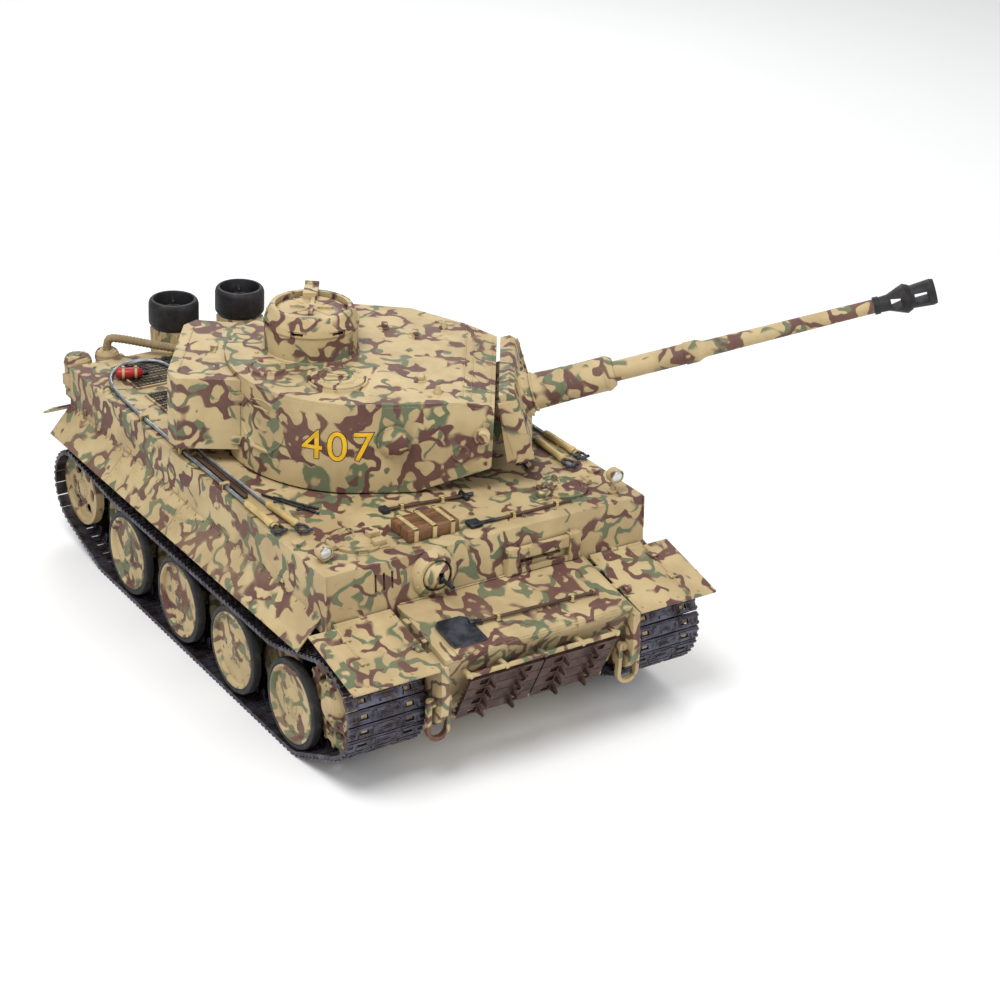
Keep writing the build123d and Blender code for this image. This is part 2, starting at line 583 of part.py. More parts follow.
# --- driver's visor: an armoured slide between the two blocks ---
VISOR_TRAVEL = 5.0
with BuildPart() as visor_slide:
    face = front_x(VISOR_Z - 1)
    block((face + 0.3, VISOR_Y - 16.2, VISOR_Z + 2.2), (face + 3.0, VISOR_Y + 16.2, VISOR_Z + 8.6))
    for y in (VISOR_Y - 9, VISOR_Y + 9):
        block((face + 2.9, y - 1.6, VISOR_Z + 3), (face + 3.8, y + 1.6, VISOR_Z + 8))
save(visor_slide, "visor_slide")

# --- turret wall: bent side and rear plate, open cheeks in front, toothed skirt below ---
CREASE_X = 56.0
SILL_X = 35.0
SILL_Z = 123.0
ROOF_FRONT_Z = 158.5
PORT_HALF = 33.0
PORT_Z = (117.0, 152.0)


def turret_outline(inset):
    """Plan of the turret: a round rear, sides that close in towards the gun."""
    r = TURRET_R - inset
    front = TURRET_FRONT_X - inset
    with BuildSketch() as plan:
        with BuildLine():
            Polyline((-5, r + 2), (24, 72 - inset), (53, 54 - inset), (front, 43 - inset),
                     (front, -58 + inset), (22, -68.5 + inset), (-5, -r))
            ThreePointArc((-5, -r), (-r - 4, 1), (-5, r + 2))
        make_face()
    return plan.sketch


def side_profile(cut):
    """Side view of the turret, with the roof line lowered by the cut."""
    return [(-110, TURRET_Z), (SILL_X, TURRET_Z), (TURRET_FRONT_X + 1, SILL_Z),
            (TURRET_FRONT_X + 1, ROOF_FRONT_Z - cut), (CREASE_X, TURRET_ROOF_Z - cut),
            (-110, TURRET_ROOF_Z - cut)]


with BuildPart() as turret_shell:
    extrude(turret_outline(0).moved(Location((0, 0, TURRET_Z))), amount=60)
    slab(Plane.XZ, side_profile(ROOF_T), 120, Mode.INTERSECT, both=True)
    extrude(turret_outline(TURRET_WALL).moved(Location((0, 0, TURRET_Z + 2))), amount=60,
            mode=Mode.SUBTRACT)
    rod((0, 0, TURRET_Z - 6), (0, 0, TURRET_Z + 2), RING_R)
    with BuildSketch(Plane.XY.offset(TURRET_Z - 7)):
        Circle(RING_R - 3)
        with PolarLocations(MESH_R + 0.5, RING_TEETH):
            Rectangle(2.8, 1.5, mode=Mode.SUBTRACT)
    extrude(amount=12, mode=Mode.SUBTRACT)
    block((TURRET_FRONT_X - 8, TRUNNION[1] - PORT_HALF, PORT_Z[0]),
          (TURRET_FRONT_X + 2, TRUNNION[1] + PORT_HALF, PORT_Z[1]), Mode.SUBTRACT)
    for sign in (-1, 1):
        y = TRUNNION[1] + sign * (PORT_HALF + 3)
        cheek = sorted((y - 2, y + 2))
        block((TRUNNION[0] - 6, cheek[0], TRUNNION[2] - 7),
              (TURRET_FRONT_X - 2, cheek[1], TRUNNION[2] + 7))
    rod((TRUNNION[0], -80, TRUNNION[2]), (TRUNNION[0], TRUNNION[1] - 20, TRUNNION[2]),
        TRUNNION_R + SLIDE, Mode.SUBTRACT)
    rod((TRUNNION[0], TRUNNION[1] + 20, TRUNNION[2]), (TRUNNION[0], 42, TRUNNION[2]),
        TRUNNION_R + SLIDE, Mode.SUBTRACT)
    wall_y = -65.2
    rod((22.6, wall_y + 1, 141), (22.6, wall_y - 6.0, 141), 8.5)
    rod((69.6, -56, 142.4), (69.6, -62.5, 142.4), 4.6)
save(turret_shell, "turret_shell", TURRET)

VENT = (-50.0, -29.0)
with BuildPart() as turret_roof:
    extrude(turret_outline(0).moved(Location((0, 0, TURRET_Z))), amount=60)
    slab(Plane.XZ, side_profile(0), 120, Mode.INTERSECT, both=True)
    slab(Plane.XZ, [(-120, 90), (120, 90), (120, ROOF_FRONT_Z - ROOF_T - (119 - TURRET_FRONT_X) * 0.175),
                    (TURRET_FRONT_X + 1, ROOF_FRONT_Z - ROOF_T), (CREASE_X, TURRET_ROOF_Z - ROOF_T),
                    (-120, TURRET_ROOF_Z - ROOF_T)], 130, Mode.SUBTRACT, both=True)
    for (x, y), radius in ((CUPOLA, CUPOLA_R - 6), (LOADER, LOADER_R - 2)):
        rod((x, y, TURRET_ROOF_Z - 5), (x, y, TURRET_ROOF_Z + 2), radius, Mode.SUBTRACT)
    along_z((*LOADER, TURRET_ROOF_Z - 0.1),
            [(0, LOADER_R - 2), (0, LOADER_R + 1.8), (1.6, LOADER_R + 1.2), (1.6, LOADER_R - 2)])
    rod((*LOADER, TURRET_ROOF_Z + 0.7), (*LOADER, TURRET_ROOF_Z + 4), LOADER_R + GAP, Mode.SUBTRACT)
    along_z((*VENT, TURRET_ROOF_Z - 0.1), [(0, 0), (0, 10.5), (1.6, 10.0), (1.8, 9.0), (1.1, 8.4), (1.1, 0)])
save(turret_roof, "turret_roof", TURRET)

# --- cupola drum, open inside, with vision slots ---
with BuildPart() as cupola:
    along_z((*CUPOLA, TURRET_ROOF_Z), [(0, CUPOLA_R - 5.5), (0, CUPOLA_R), (14, CUPOLA_R - 0.4),
            (15.5, CUPOLA_R + 0.3), (19, CUPOLA_R - 0.5), (CUPOLA_H, CUPOLA_R - 2.6),
            (CUPOLA_H + 1.5, CUPOLA_R - 3.8), (CUPOLA_H + 1.5, CUPOLA_R - 6.2),
            (CUPOLA_H - 3, CUPOLA_R - 6.2), (CUPOLA_H - 3, CUPOLA_R - 5.5)])
    with BuildSketch(Plane.XY.offset(TURRET_ROOF_Z + 16)):
        with Locations(CUPOLA):
            with PolarLocations(CUPOLA_R - 3, 7):
                Rectangle(9, 7)
    extrude(amount=1.6, mode=Mode.SUBTRACT)
save(cupola, "cupola", TURRET)

CUPOLA_LID_R = CUPOLA_R - 6.5
LID_Z = TURRET_ROOF_Z + CUPOLA_H - 4.0
hinge_at = (CUPOLA[0] - 2, CUPOLA[1] + CUPOLA_R - 1.5)
with BuildPart() as cupola_hatch:
    along_z((*CUPOLA, LID_Z), [(0, 0), (0, CUPOLA_LID_R), (2.2, CUPOLA_LID_R), (3.4, CUPOLA_LID_R - 2.4),
                               (3.0, 0)])
    block((CUPOLA[0] - 1.1, CUPOLA[1] - 12, LID_Z + 2.5), (CUPOLA[0] + 1.1, CUPOLA[1] + 12, LID_Z + 4.6))
    block((CUPOLA[0] - 12, CUPOLA[1] - 1.1, LID_Z + 2.5), (CUPOLA[0] + 12, CUPOLA[1] + 1.1, LID_Z + 4.6))
    block((hinge_at[0] - 4, CUPOLA[1] + 12, LID_Z + 2.6),
          (hinge_at[0] + 4, hinge_at[1] + 1, LID_Z + 7.2))
    block((hinge_at[0] - 5, CUPOLA[1] + 19, LID_Z + 2.0),
          (hinge_at[0] + 5, CUPOLA[1] + CUPOLA_R + 2, LID_Z + 5.9), Mode.SUBTRACT)
    rod((hinge_at[0] - 4, hinge_at[1] + 2, LID_Z + 7.4),
        (hinge_at[0] + 4, hinge_at[1] + 2, LID_Z + 7.4), 1.4)
save(cupola_hatch, "cupola_hatch", TURRET)

with BuildPart() as loader_hatch:
    along_z((*LOADER, TURRET_ROOF_Z + 0.8),
            [(0, 0), (0, LOADER_R), (1.6, LOADER_R - 0.4), (2.0, LOADER_R - 2.4), (2.0, 0)])
    block((LOADER[0] - 6, LOADER[1] - 1, TURRET_ROOF_Z + 2.5),
          (LOADER[0] + 6, LOADER[1] + 1, TURRET_ROOF_Z + 4.0))
    rod((LOADER[0] - 15.5, LOADER[1] - 4, TURRET_ROOF_Z + 3.0),
        (LOADER[0] - 15.5, LOADER[1] + 4, TURRET_ROOF_Z + 3.0), 1.2)
    block((LOADER[0] - 16, LOADER[1] - 4, TURRET_ROOF_Z + 2.2),
          (LOADER[0] - 11, LOADER[1] + 4, TURRET_ROOF_Z + 3.2))
save(loader_hatch, "loader_hatch", TURRET)

# --- stowage bin, bent round the turret's rear ---
BIN_Z = (118.0, 159.5)
BIN_HALF = 43.0
BIN_BACK = 104.0
with BuildPart() as stowage_bin:
    with BuildSketch(Plane.XY.offset(BIN_Z[0])):
        with BuildLine():
            Polyline((-52, -BIN_HALF + 3), (-98, -BIN_HALF), (-BIN_BACK, -BIN_HALF + 9),
                     (-BIN_BACK, BIN_HALF - 9), (-98, BIN_HALF), (-52, BIN_HALF - 3), close=True)
        make_face()
    extrude(amount=BIN_Z[1] - BIN_Z[0])
    extrude(turret_outline(-0.2).moved(Location((0, 0, BIN_Z[0] - 5))), amount=60, mode=Mode.SUBTRACT)
    block((-101.5, -BIN_HALF + 8, BIN_Z[0] + 2), (-82, BIN_HALF - 8, BIN_Z[1] - 2), Mode.SUBTRACT)
    rod((-82.8, 2, BIN_Z[1] - 0.5), (-82.8, 2, BIN_Z[1] + 2.0), 2.2)
save(stowage_bin, "stowage_bin", TURRET)

# --- gun: mantlet and sleeve, recoiling barrel, muzzle brake ---
with BuildPart() as gun_mantlet:
    block((MANTLET_X, -44, -21), (MANTLET_X + MANTLET_T, 40, 21))
    chamfer(gun_mantlet.edges().filter_by(Axis.Y).group_by(Axis.X)[-1], 2.5)
    block((MANTLET_X - 1.5, -46.5, -19), (MANTLET_X + MANTLET_T + 1.2, -44, 17))
    block((MANTLET_X - 1.5, 40, -19), (MANTLET_X + MANTLET_T + 1.2, 42.5, 17))
    block((-12, -11, -10), (MANTLET_X + 1, 11, 10))
    rod((0, -34.5, 0), (0, 34.5, 0), TRUNNION_R)
    sleeve_start = MANTLET_X + MANTLET_T - 0.5
    along_x((0, 0, 0), [(sleeve_start, 0), (sleeve_start, 13.6), (sleeve_start + 3, 12.6),
                        (sleeve_start + 6, 10.4), (SLEEVE_END - 26, SLEEVE_R + 0.5),
                        (SLEEVE_END - 3, SLEEVE_R + 0.5), (SLEEVE_END, SLEEVE_R - 1.4), (SLEEVE_END, 0)])
    rod((-4, 0, 0), (SLEEVE_END + 2, 0, 0), BARREL_R + SLIDE, Mode.SUBTRACT)
    rod((-14, 0, 0), (0, 0, 0), BARREL_R + 2, Mode.SUBTRACT)
save(gun_mantlet, "gun_mantlet", GUN)

STEP_X = 137.7
BRAKE_X = 234.0
with BuildPart() as gun_barrel:
    along_x((0, 0, 0), [(2, 0), (2, BARREL_R), (STEP_X - 10, BARREL_R), (STEP_X - 10, BARREL_R + 0.5),
                        (STEP_X - 3, BARREL_R + 0.5), (STEP_X, BARREL_R - 0.8), (STEP_X + 2, 4.6),
                        (BRAKE_X - 8, 3.9), (BRAKE_X, 3.9), (BRAKE_X, 0)])
    rod((10, 0, 0), (BRAKE_X + 1, 0, 0), GUN_BORE_R, Mode.SUBTRACT)
save(gun_barrel, "gun_barrel", GUN)

with BuildPart() as muzzle_brake:
    along_x((0, 0, 0), [(BRAKE_X, 0), (BRAKE_X, 4.9), (BRAKE_X + 3, 4.9), (BRAKE_X + 3.5, 4.3),
                        (BRAKE_X + 8, 4.6), (BRAKE_X + 15, 7.4), (BRAKE_X + 17.5, 8.3), (BRAKE_X + 20, 7.2),
                        (BRAKE_X + 21, 6.4), (MUZZLE_X - 2, 7.3), (MUZZLE_X, 6.8), (MUZZLE_X, 0)])
    rod((BRAKE_X - 1, 0, 0), (MUZZLE_X + 1, 0, 0), GUN_BORE_R, Mode.SUBTRACT)
    for low, high in ((BRAKE_X + 9.5, BRAKE_X + 15.5), (BRAKE_X + 22.5, MUZZLE_X - 4)):
        block((low, -12, -3.2), (high, 12, 3.2), Mode.SUBTRACT)
save(muzzle_brake, "muzzle_brake", GUN)

# --- rear: exhaust stacks, air filters and their hoses ---
STACK_X = -186.2
STACK_Y = 23.0
STACK_R = 15.5
with BuildPart() as exhausts:
    for y in (-STACK_Y, STACK_Y):
        along_z((STACK_X, y, 0), [(80, 6), (80, STACK_R - 1.5), (116, STACK_R - 0.8), (118, STACK_R),
                                  (131, STACK_R), (133.6, STACK_R - 1.6), (133.6, STACK_R - 3.2),
                                  (120, STACK_R - 3.2), (118.5, 6)])
        rod((STACK_X, y, 79), (STACK_X, y, 127), 6.0)
        rod((STACK_X, y, 124), (STACK_X, y, 128), 3.8, Mode.SUBTRACT)
        block((REAR_X - 2.0, y - 8, 82), (REAR_X - 0.05, y + 8, 92))
save(exhausts, "exhausts")

with BuildPart() as air_filters:
    for side in SIDES.values():
        for x, y, r in ((-182.5, 89.5, 8.2), (-182.8, 70.0, 7.2)):
            along_z((x, side * y, 0), [(88, 0), (88, r - 1), (89, r), (107.5, r), (109.5, r - 1.2), (109.5, 0)])
            block((REAR_X - 6, side * y - 4, 92), (REAR_X - 0.05, side * y + 4, 98))
        low, high = sorted((side * 60, side * 66))
        block((REAR_X - 14, low, 99), (REAR_X - 6, high, 105))
save(air_filters, "air_filters")


def bent_tube(points, radii, radius):
    with BuildLine() as way:
        FilletPolyline(*points, radius=radii)
    with BuildSketch(Plane(origin=way.line @ 0, z_dir=way.line % 0)) as disc:
        Circle(radius)
    sweep(disc.sketch, path=way.line)
    return sum(edge.length for edge in way.line.edges())


HOSE_R = 2.6
with BuildPart() as filter_hoses:
    for side in SIDES.values():
        points = [(-182.8, side * 70, 109.7), (-182.8, side * 70, 118.0),
                  (-160, side * 46, 115.5), (-146, side * 24, 113.4)]
        bent_tube(points, [5.5, 9], HOSE_R)
save(filter_hoses, "filter_hoses")

# --- tow cables: one each side, from eye to eye, held in clips on the roof ---
CABLE_R = 1.1
CABLE_Z = ROOF_Z + CABLE_R + 0.25
SLEEVE_L = 28.0
SLEEVE_RISE = 0.8
cable_route = [(46, 97.0), (-103, 95.5), (-143, 90.0), (-161, 68), (-150, 46), (-104, 54), (-64, 80),
               (-24, 88.4), (52, 87.4)]
cable_radii = [60, 30, 14, 14, 24, 50, 60]
for name, side in SIDES.items():
    with BuildPart() as tow_cable:
        route = [(x, side * y, CABLE_Z) for x, y in cable_route]
        length = bent_tube(route, cable_radii, CABLE_R)
        for (x, y), toe in ((cable_route[0], 0.0), (cable_route[-1], -2.0)):
            start = (x - 1, side * y, CABLE_Z + SLEEVE_RISE)
            end = (x + SLEEVE_L, side * (y + toe), CABLE_Z + SLEEVE_RISE)
            rod(start, end, 2.0)
            eye = Plane(origin=(x + SLEEVE_L + 4.6, side * (y + toe), CABLE_Z - 0.4))
            with BuildSketch(eye):
                SlotCenterToCenter(5.4, 7.4)
                SlotCenterToCenter(5.4, 3.6, mode=Mode.SUBTRACT)
            extrude(amount=2.4)
    save(tow_cable, f"tow_cable_{name}")
    print(f"tow cable {name}: {length:.0f} mm of cable between the sleeves")

# --- small roof and nose fittings: clips, lamp brackets, lifting eyes, tow shackles ---
with BuildPart() as hull_fittings:
    (run_x, run_y), (bend_x, bend_y) = cable_route[:2]
    for side in SIDES.values():
        for x in (20, -30, -80):
            y = side * (run_y + (x - run_x) * (bend_y - run_y) / (bend_x - run_x))
            block((x - 1.2, y - 2.6, ROOF_Z), (x + 1.2, y + 2.6, ROOF_Z + 3.6))
            block((x - 2, y - 1.45, ROOF_Z - 1), (x + 2, y + 1.45, ROOF_Z + 2.8), Mode.SUBTRACT)
        rod((96, side * 94, ROOF_Z), (96, side * 94, ROOF_Z + 1.6), 3.6)
    for side in SIDES.values():
        ear_x, ear_z = FRONT_EAR
        mid_y = side * (HALF_TUB + EAR_T / 2)
        rod((ear_x, side * (HALF_TUB - 2.6), ear_z), (ear_x, side * (HALF_TUB + EAR_T + 2.6), ear_z),
            EAR_HOLE_R - 0.1)
        with BuildSketch(Plane(origin=(ear_x, mid_y, ear_z), x_dir=(0, 1, 0), z_dir=(1, 0, 0))) as bow:
            SlotCenterToCenter(16, 14, rotation=90)
            SlotCenterToCenter(16, 9.6, rotation=90, mode=Mode.SUBTRACT)
        shackle = bow.sketch.moved(Location((0, 0, -8)))
        extrude(shackle, amount=1.5, both=True)
        low, high = sorted((side * (HALF_TUB - 8), side * (HALF_TUB + EAR_T + 8)))
        block((ear_x - 4, low, ear_z + EAR_HOLE_R), (ear_x + 4, high, ear_z + 20), Mode.SUBTRACT)
save(hull_fittings, "hull_fittings")

# --- headlamps ---
with BuildPart() as headlamps:
    for x, y, z in ((118.7, -92.5, 114.6), (124.0, 87.5, 119.5)):
        along_x((x, y, z), [(-4.5, 0), (-4.5, 2.4), (-2.5, 4.0), (2.6, 4.3), (3.0, 4.0), (3.0, 3.5),
                            (2.0, 3.4), (2.0, 0)])
        rod((x - 1, y, ROOF_Z + 0.02), (x - 1, y, z - 3), 1.1)
        rod((x - 1, y, ROOF_Z + 0.02), (x - 1, y, ROOF_Z + 1.2), 2.6)
save(headlamps, "headlamps")

# --- things carried on the roof and the glacis ---
with BuildPart() as fire_extinguisher:
    a = Vector(-140.3, -84.4, ROOF_Z + 4.0)
    b = Vector(-133.8, -69.6, ROOF_Z + 4.0)
    rod(a, b, 3.3)
    rod(b - (b - a) * 0.02, b + (b - a) * 0.18, 1.6)
save(fire_extinguisher, "fire_extinguisher")

with BuildPart() as jack_block:
    block((104.0, -44.0, ROOF_Z + 0.1), (123.0, -12.0, ROOF_Z + 7.0))
    for y in (-40.5, -29.2, -18.0):
        block((103.4, y, ROOF_Z + 0.1), (123.6, y + 2.2, ROOF_Z + 7.6))
save(jack_block, "jack_block")

with BuildPart() as hand_tools:
    tool_z = ROOF_Z + 1.5
    rod((85.5, -34, tool_z), (91.0, 12, tool_z), 0.95)
    block((88.0, 10, ROOF_Z + 0.2), (94.5, 17.5, ROOF_Z + 3.2))
    block((82.4, -38, ROOF_Z + 0.2), (88.4, -33.5, ROOF_Z + 2.9))
    rod((122.5, 12, ROOF_Z + 1.2), (122.5, 60, ROOF_Z + 1.2), 0.8)
    block((117.5, -6, ROOF_Z + 0.2), (125.0, 1.5, ROOF_Z + 2.6))
    rod((121.6, 0.5, ROOF_Z + 1.2), (122.5, 14, ROOF_Z + 1.2), 1.0)
    blade_low = glacis_z(180) + 1.1
    blade_high = glacis_z(158) + 0.3
    blade = [(158.0, blade_high), (180.0, blade_low), (180.0, blade_low + 1.0), (158.0, blade_high + 1.8)]
    slab(Plane(origin=(0, -51, 0), x_dir=(1, 0, 0), z_dir=(0, -1, 0)), blade, -21)
    rod((166, -31, glacis_z(166) + 1.7), (168.5, 44, glacis_z(168.5) + 1.7), 0.95)
save(hand_tools, "hand_tools")

# --- inside: battery, control board, drive units, turret pinion ---
with BuildPart() as battery_pack:
    block((-70, -24, BELLY_Z + WALL + 0.5), (68, 24, BELLY_Z + WALL + 25))
    fillet(battery_pack.edges().filter_by(Axis.X), 5)
save(battery_pack, "battery_pack")

with BuildPart() as control_board:
    block((-150, -40, 68), (-80, 40, 69.6))
    for x, y in ((-140, -30), (-140, 10), (-105, -20), (-105, 18)):
        block((x, y, 69.6), (x + 16, y + 12, 74))
    for x in (-146, -84):
        for y in (-36, 36):
            rod((x, y, BELLY_Z + WALL), (x, y, 68), 2.5)
save(control_board, "control_board")

with BuildPart() as drive_units:
    for side in SIDES.values():
        low, high = sorted((side * 5, side * 49))
        block((100, low, 36), (138, high, 56))
        block((138, low, 36), (164, high, 40))
        rod((112, side * 6, 64), (112, side * 40, 64), 9)
    block((-56, -14, 74), (-30, 14, 96))
    rod((-(MESH_R - MESH_R * PINION_TEETH / RING_TEETH), 0, 95),
        (-(MESH_R - MESH_R * PINION_TEETH / RING_TEETH), 0, 108), 1.5)
save(drive_units, "drive_units")

pinion_r = MESH_R * PINION_TEETH / RING_TEETH
pinion_x = -(MESH_R - pinion_r)
tooth_step = 360 / RING_TEETH
gap_angle = TURN_REST + (int((180 - TURN_REST) / tooth_step) + 0.5) * tooth_step
pinion_turn = 180 + (gap_angle - 180) * RING_TEETH / PINION_TEETH
with BuildPart() as turret_pinion:
    with BuildSketch(Plane.XY.offset(TURRET_Z - 5.5)):
        with Locations((pinion_x, 0)):
            Circle(pinion_r - 1.4)
            with PolarLocations(pinion_r - 0.8, PINION_TEETH, start_angle=pinion_turn):
                Rectangle(2.8, 1.4)
            Circle(1.5 + SLIDE, mode=Mode.SUBTRACT)
    extrude(amount=5)
save(turret_pinion, "turret_pinion")
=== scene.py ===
import json
import math

import bmesh
import bpy
import numpy as np
from mathutils import Matrix, Vector
from mathutils.bvhtree import BVHTree


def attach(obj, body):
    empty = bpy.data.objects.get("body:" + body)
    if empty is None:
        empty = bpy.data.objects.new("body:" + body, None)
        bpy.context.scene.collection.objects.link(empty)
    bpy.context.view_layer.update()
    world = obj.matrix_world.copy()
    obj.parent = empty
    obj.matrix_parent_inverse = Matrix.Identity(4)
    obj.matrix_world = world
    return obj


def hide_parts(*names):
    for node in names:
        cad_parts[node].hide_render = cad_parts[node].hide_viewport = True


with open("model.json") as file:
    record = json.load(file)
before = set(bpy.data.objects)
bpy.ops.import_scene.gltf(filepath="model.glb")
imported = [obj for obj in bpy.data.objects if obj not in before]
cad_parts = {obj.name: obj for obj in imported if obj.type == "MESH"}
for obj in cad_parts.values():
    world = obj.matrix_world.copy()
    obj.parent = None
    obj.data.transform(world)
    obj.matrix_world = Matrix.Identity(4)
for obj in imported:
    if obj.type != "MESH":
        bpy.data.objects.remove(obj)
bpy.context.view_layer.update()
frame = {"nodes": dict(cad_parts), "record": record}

# Radio-controlled heavy tank, 1:16. Shapes are worked out in millimetres and
# turned into metres when each piece is finished.
MM = 0.001
SIDES = {"right": -1, "left": 1}
UP, FORWARD, BACK = Vector((0, 0, 1)), Vector((1, 0, 0)), Vector((-1, 0, 0))

# --- the sizes of the frame that the pieces are built to ---
ROOF_Z = 108.8
TRACK_Y = 88.2
TRACK_W = 45.3
WHEEL_R = 25.1
RIM_R = 21.6
WHEEL_Z = 28.2
WHEEL_PITCH = 32.2
FIRST_AXLE_X = 116.9
AXLES = 8
SPROCKET = (152.0, 44.0)
IDLER = (-150.0, 37.0)
TURRET_ROOF_Z = 162.0
CUPOLA = (-29.0, 6.0)
LOADER = (-10.5, -41.5)
HATCHES = {"right": (107.5, -66.0), "left": (106.0, 66.0)}
TURRET = Matrix.Rotation(math.radians(55.4), 4, "Z")
GUN = (TURRET @ Matrix.Translation((58.0, -3.0, 132.2))
       @ Matrix.Rotation(math.radians(-18.5), 4, "Y"))


# ------------------------------------------------------------------ finishes
class Finish:
    """One material, laid up from the base paint outward."""

    def __init__(self, name):
        self.material = bpy.data.materials.new(name)
        self.material.use_nodes = True
        self.tree = self.material.node_tree
        self.shader = self.tree.nodes["Principled BSDF"]
        self.place = self.node("ShaderNodeTexCoord").outputs["Object"]

    def node(self, kind, **settings):
        made = self.tree.nodes.new(kind)
        for key, value in settings.items():
            setattr(made, key, value)
        return made

    def feed(self, socket, value):
        if isinstance(value, bpy.types.NodeSocket):
            self.tree.links.new(value, socket)
        elif isinstance(value, tuple) and len(value) == 3:
            socket.default_value = (*value, 1.0)
        else:
            socket.default_value = value

    def set(self, **values):
        for key, value in values.items():
            self.feed(self.shader.inputs[key.replace("_", " ")], value)
        return self

    def moved(self, shift=(0, 0, 0), stretch=(1, 1, 1), turn=(0, 0, 0)):
        mapping = self.node("ShaderNodeMapping")
        self.feed(mapping.inputs["Vector"], self.place)
        mapping.inputs["Location"].default_value = shift
        mapping.inputs["Rotation"].default_value = turn
        mapping.inputs["Scale"].default_value = stretch
        return mapping.outputs["Vector"]

    def noise(self, scale, detail=3.0, rough=0.55, twist=0.0, **where):
        made = self.node("ShaderNodeTexNoise")
        self.feed(made.inputs["Vector"], self.moved(**where) if where else self.place)
        made.inputs["Scale"].default_value = scale
        made.inputs["Detail"].default_value = detail
        made.inputs["Roughness"].default_value = rough
        made.inputs["Distortion"].default_value = twist
        return made.outputs["Fac"]

    def sum(self, operation, a, b):
        made = self.node("ShaderNodeMath", operation=operation)
        self.feed(made.inputs[0], a)
        self.feed(made.inputs[1], b)
        return made.outputs[0]

    def step(self, value, low, high):
        """0 below low, 1 above high, smooth between them."""
        made = self.node("ShaderNodeMapRange", interpolation_type="SMOOTHSTEP")
        self.feed(made.inputs["Value"], value)
        made.inputs["From Min"].default_value = min(low, high)
        made.inputs["From Max"].default_value = max(low, high)
        if low > high:
            made.inputs["To Min"].default_value = 1.0
            made.inputs["To Max"].default_value = 0.0
        return made.outputs["Result"]

    def spread(self, value, low, high):
        """A 0 to 1 value laid out between two numbers."""
        made = self.node("ShaderNodeMapRange")
        self.feed(made.inputs["Value"], value)
        made.inputs["To Min"].default_value = low
        made.inputs["To Max"].default_value = high
        return made.outputs["Result"]

    def mix(self, amount, under, over):
        made = self.node("ShaderNodeMix", data_type="RGBA")
        self.feed(made.inputs[0], amount)
        self.feed(made.inputs[6], under)
        self.feed(made.inputs[7], over)
        return made.outputs[2]

    def corners(self, reach):
        """1 in nooks and under overlaps, where shade falls (ambient occlusion), 0 in the open."""
        made = self.node("ShaderNodeAmbientOcclusion", samples=6, inside=False)
        made.inputs["Distance"].default_value = reach
        return self.sum("SUBTRACT", 1.0, made.outputs["AO"])

    def edges(self, reach):
        """1 along the outer edges of the form, 0 on its flats."""
        rounded = self.node("ShaderNodeBevel", samples=4)
        rounded.inputs["Radius"].default_value = reach
        sharp = self.node("ShaderNodeNewGeometry")
        dot = self.node("ShaderNodeVectorMath", operation="DOT_PRODUCT")
        self.feed(dot.inputs[0], rounded.outputs["Normal"])
        self.feed(dot.inputs[1], sharp.outputs["Normal"])
        return self.step(dot.outputs["Value"], 0.97, 0.80)

    def surface(self, height, depth, round_edges=0.0):
        """Bump from a height, over edges softened by a small radius."""
        bump = self.node("ShaderNodeBump")
        bump.inputs["Strength"].default_value = 1.0
        bump.inputs["Distance"].default_value = depth
        self.feed(bump.inputs["Height"], height)
        if round_edges:
            rounded = self.node("ShaderNodeBevel", samples=4)
            rounded.inputs["Radius"].default_value = round_edges
            self.feed(bump.inputs["Normal"], rounded.outputs["Normal"])
        self.feed(self.shader.inputs["Normal"], bump.outputs["Normal"])
        return self


def shade(red, green, blue):
    """A colour given as it looks on a paint chart, 0 to 255."""
    return tuple((c / 255 / 12.92) if c <= 10 else ((c / 255 + 0.055) / 1.055) ** 2.4
                 for c in (red, green, blue))


SAND = shade(192, 171, 128)
SAND_DARK = shade(170, 148, 108)
OLIVE = shade(94, 104, 78)
RED_BROWN = shade(92, 58, 54)
DUST = shade(178, 158, 122)
# dark brown used for grime specks and for painted shade in nooks
GRIME_AND_NOOK_SHADE = shade(58, 46, 34)


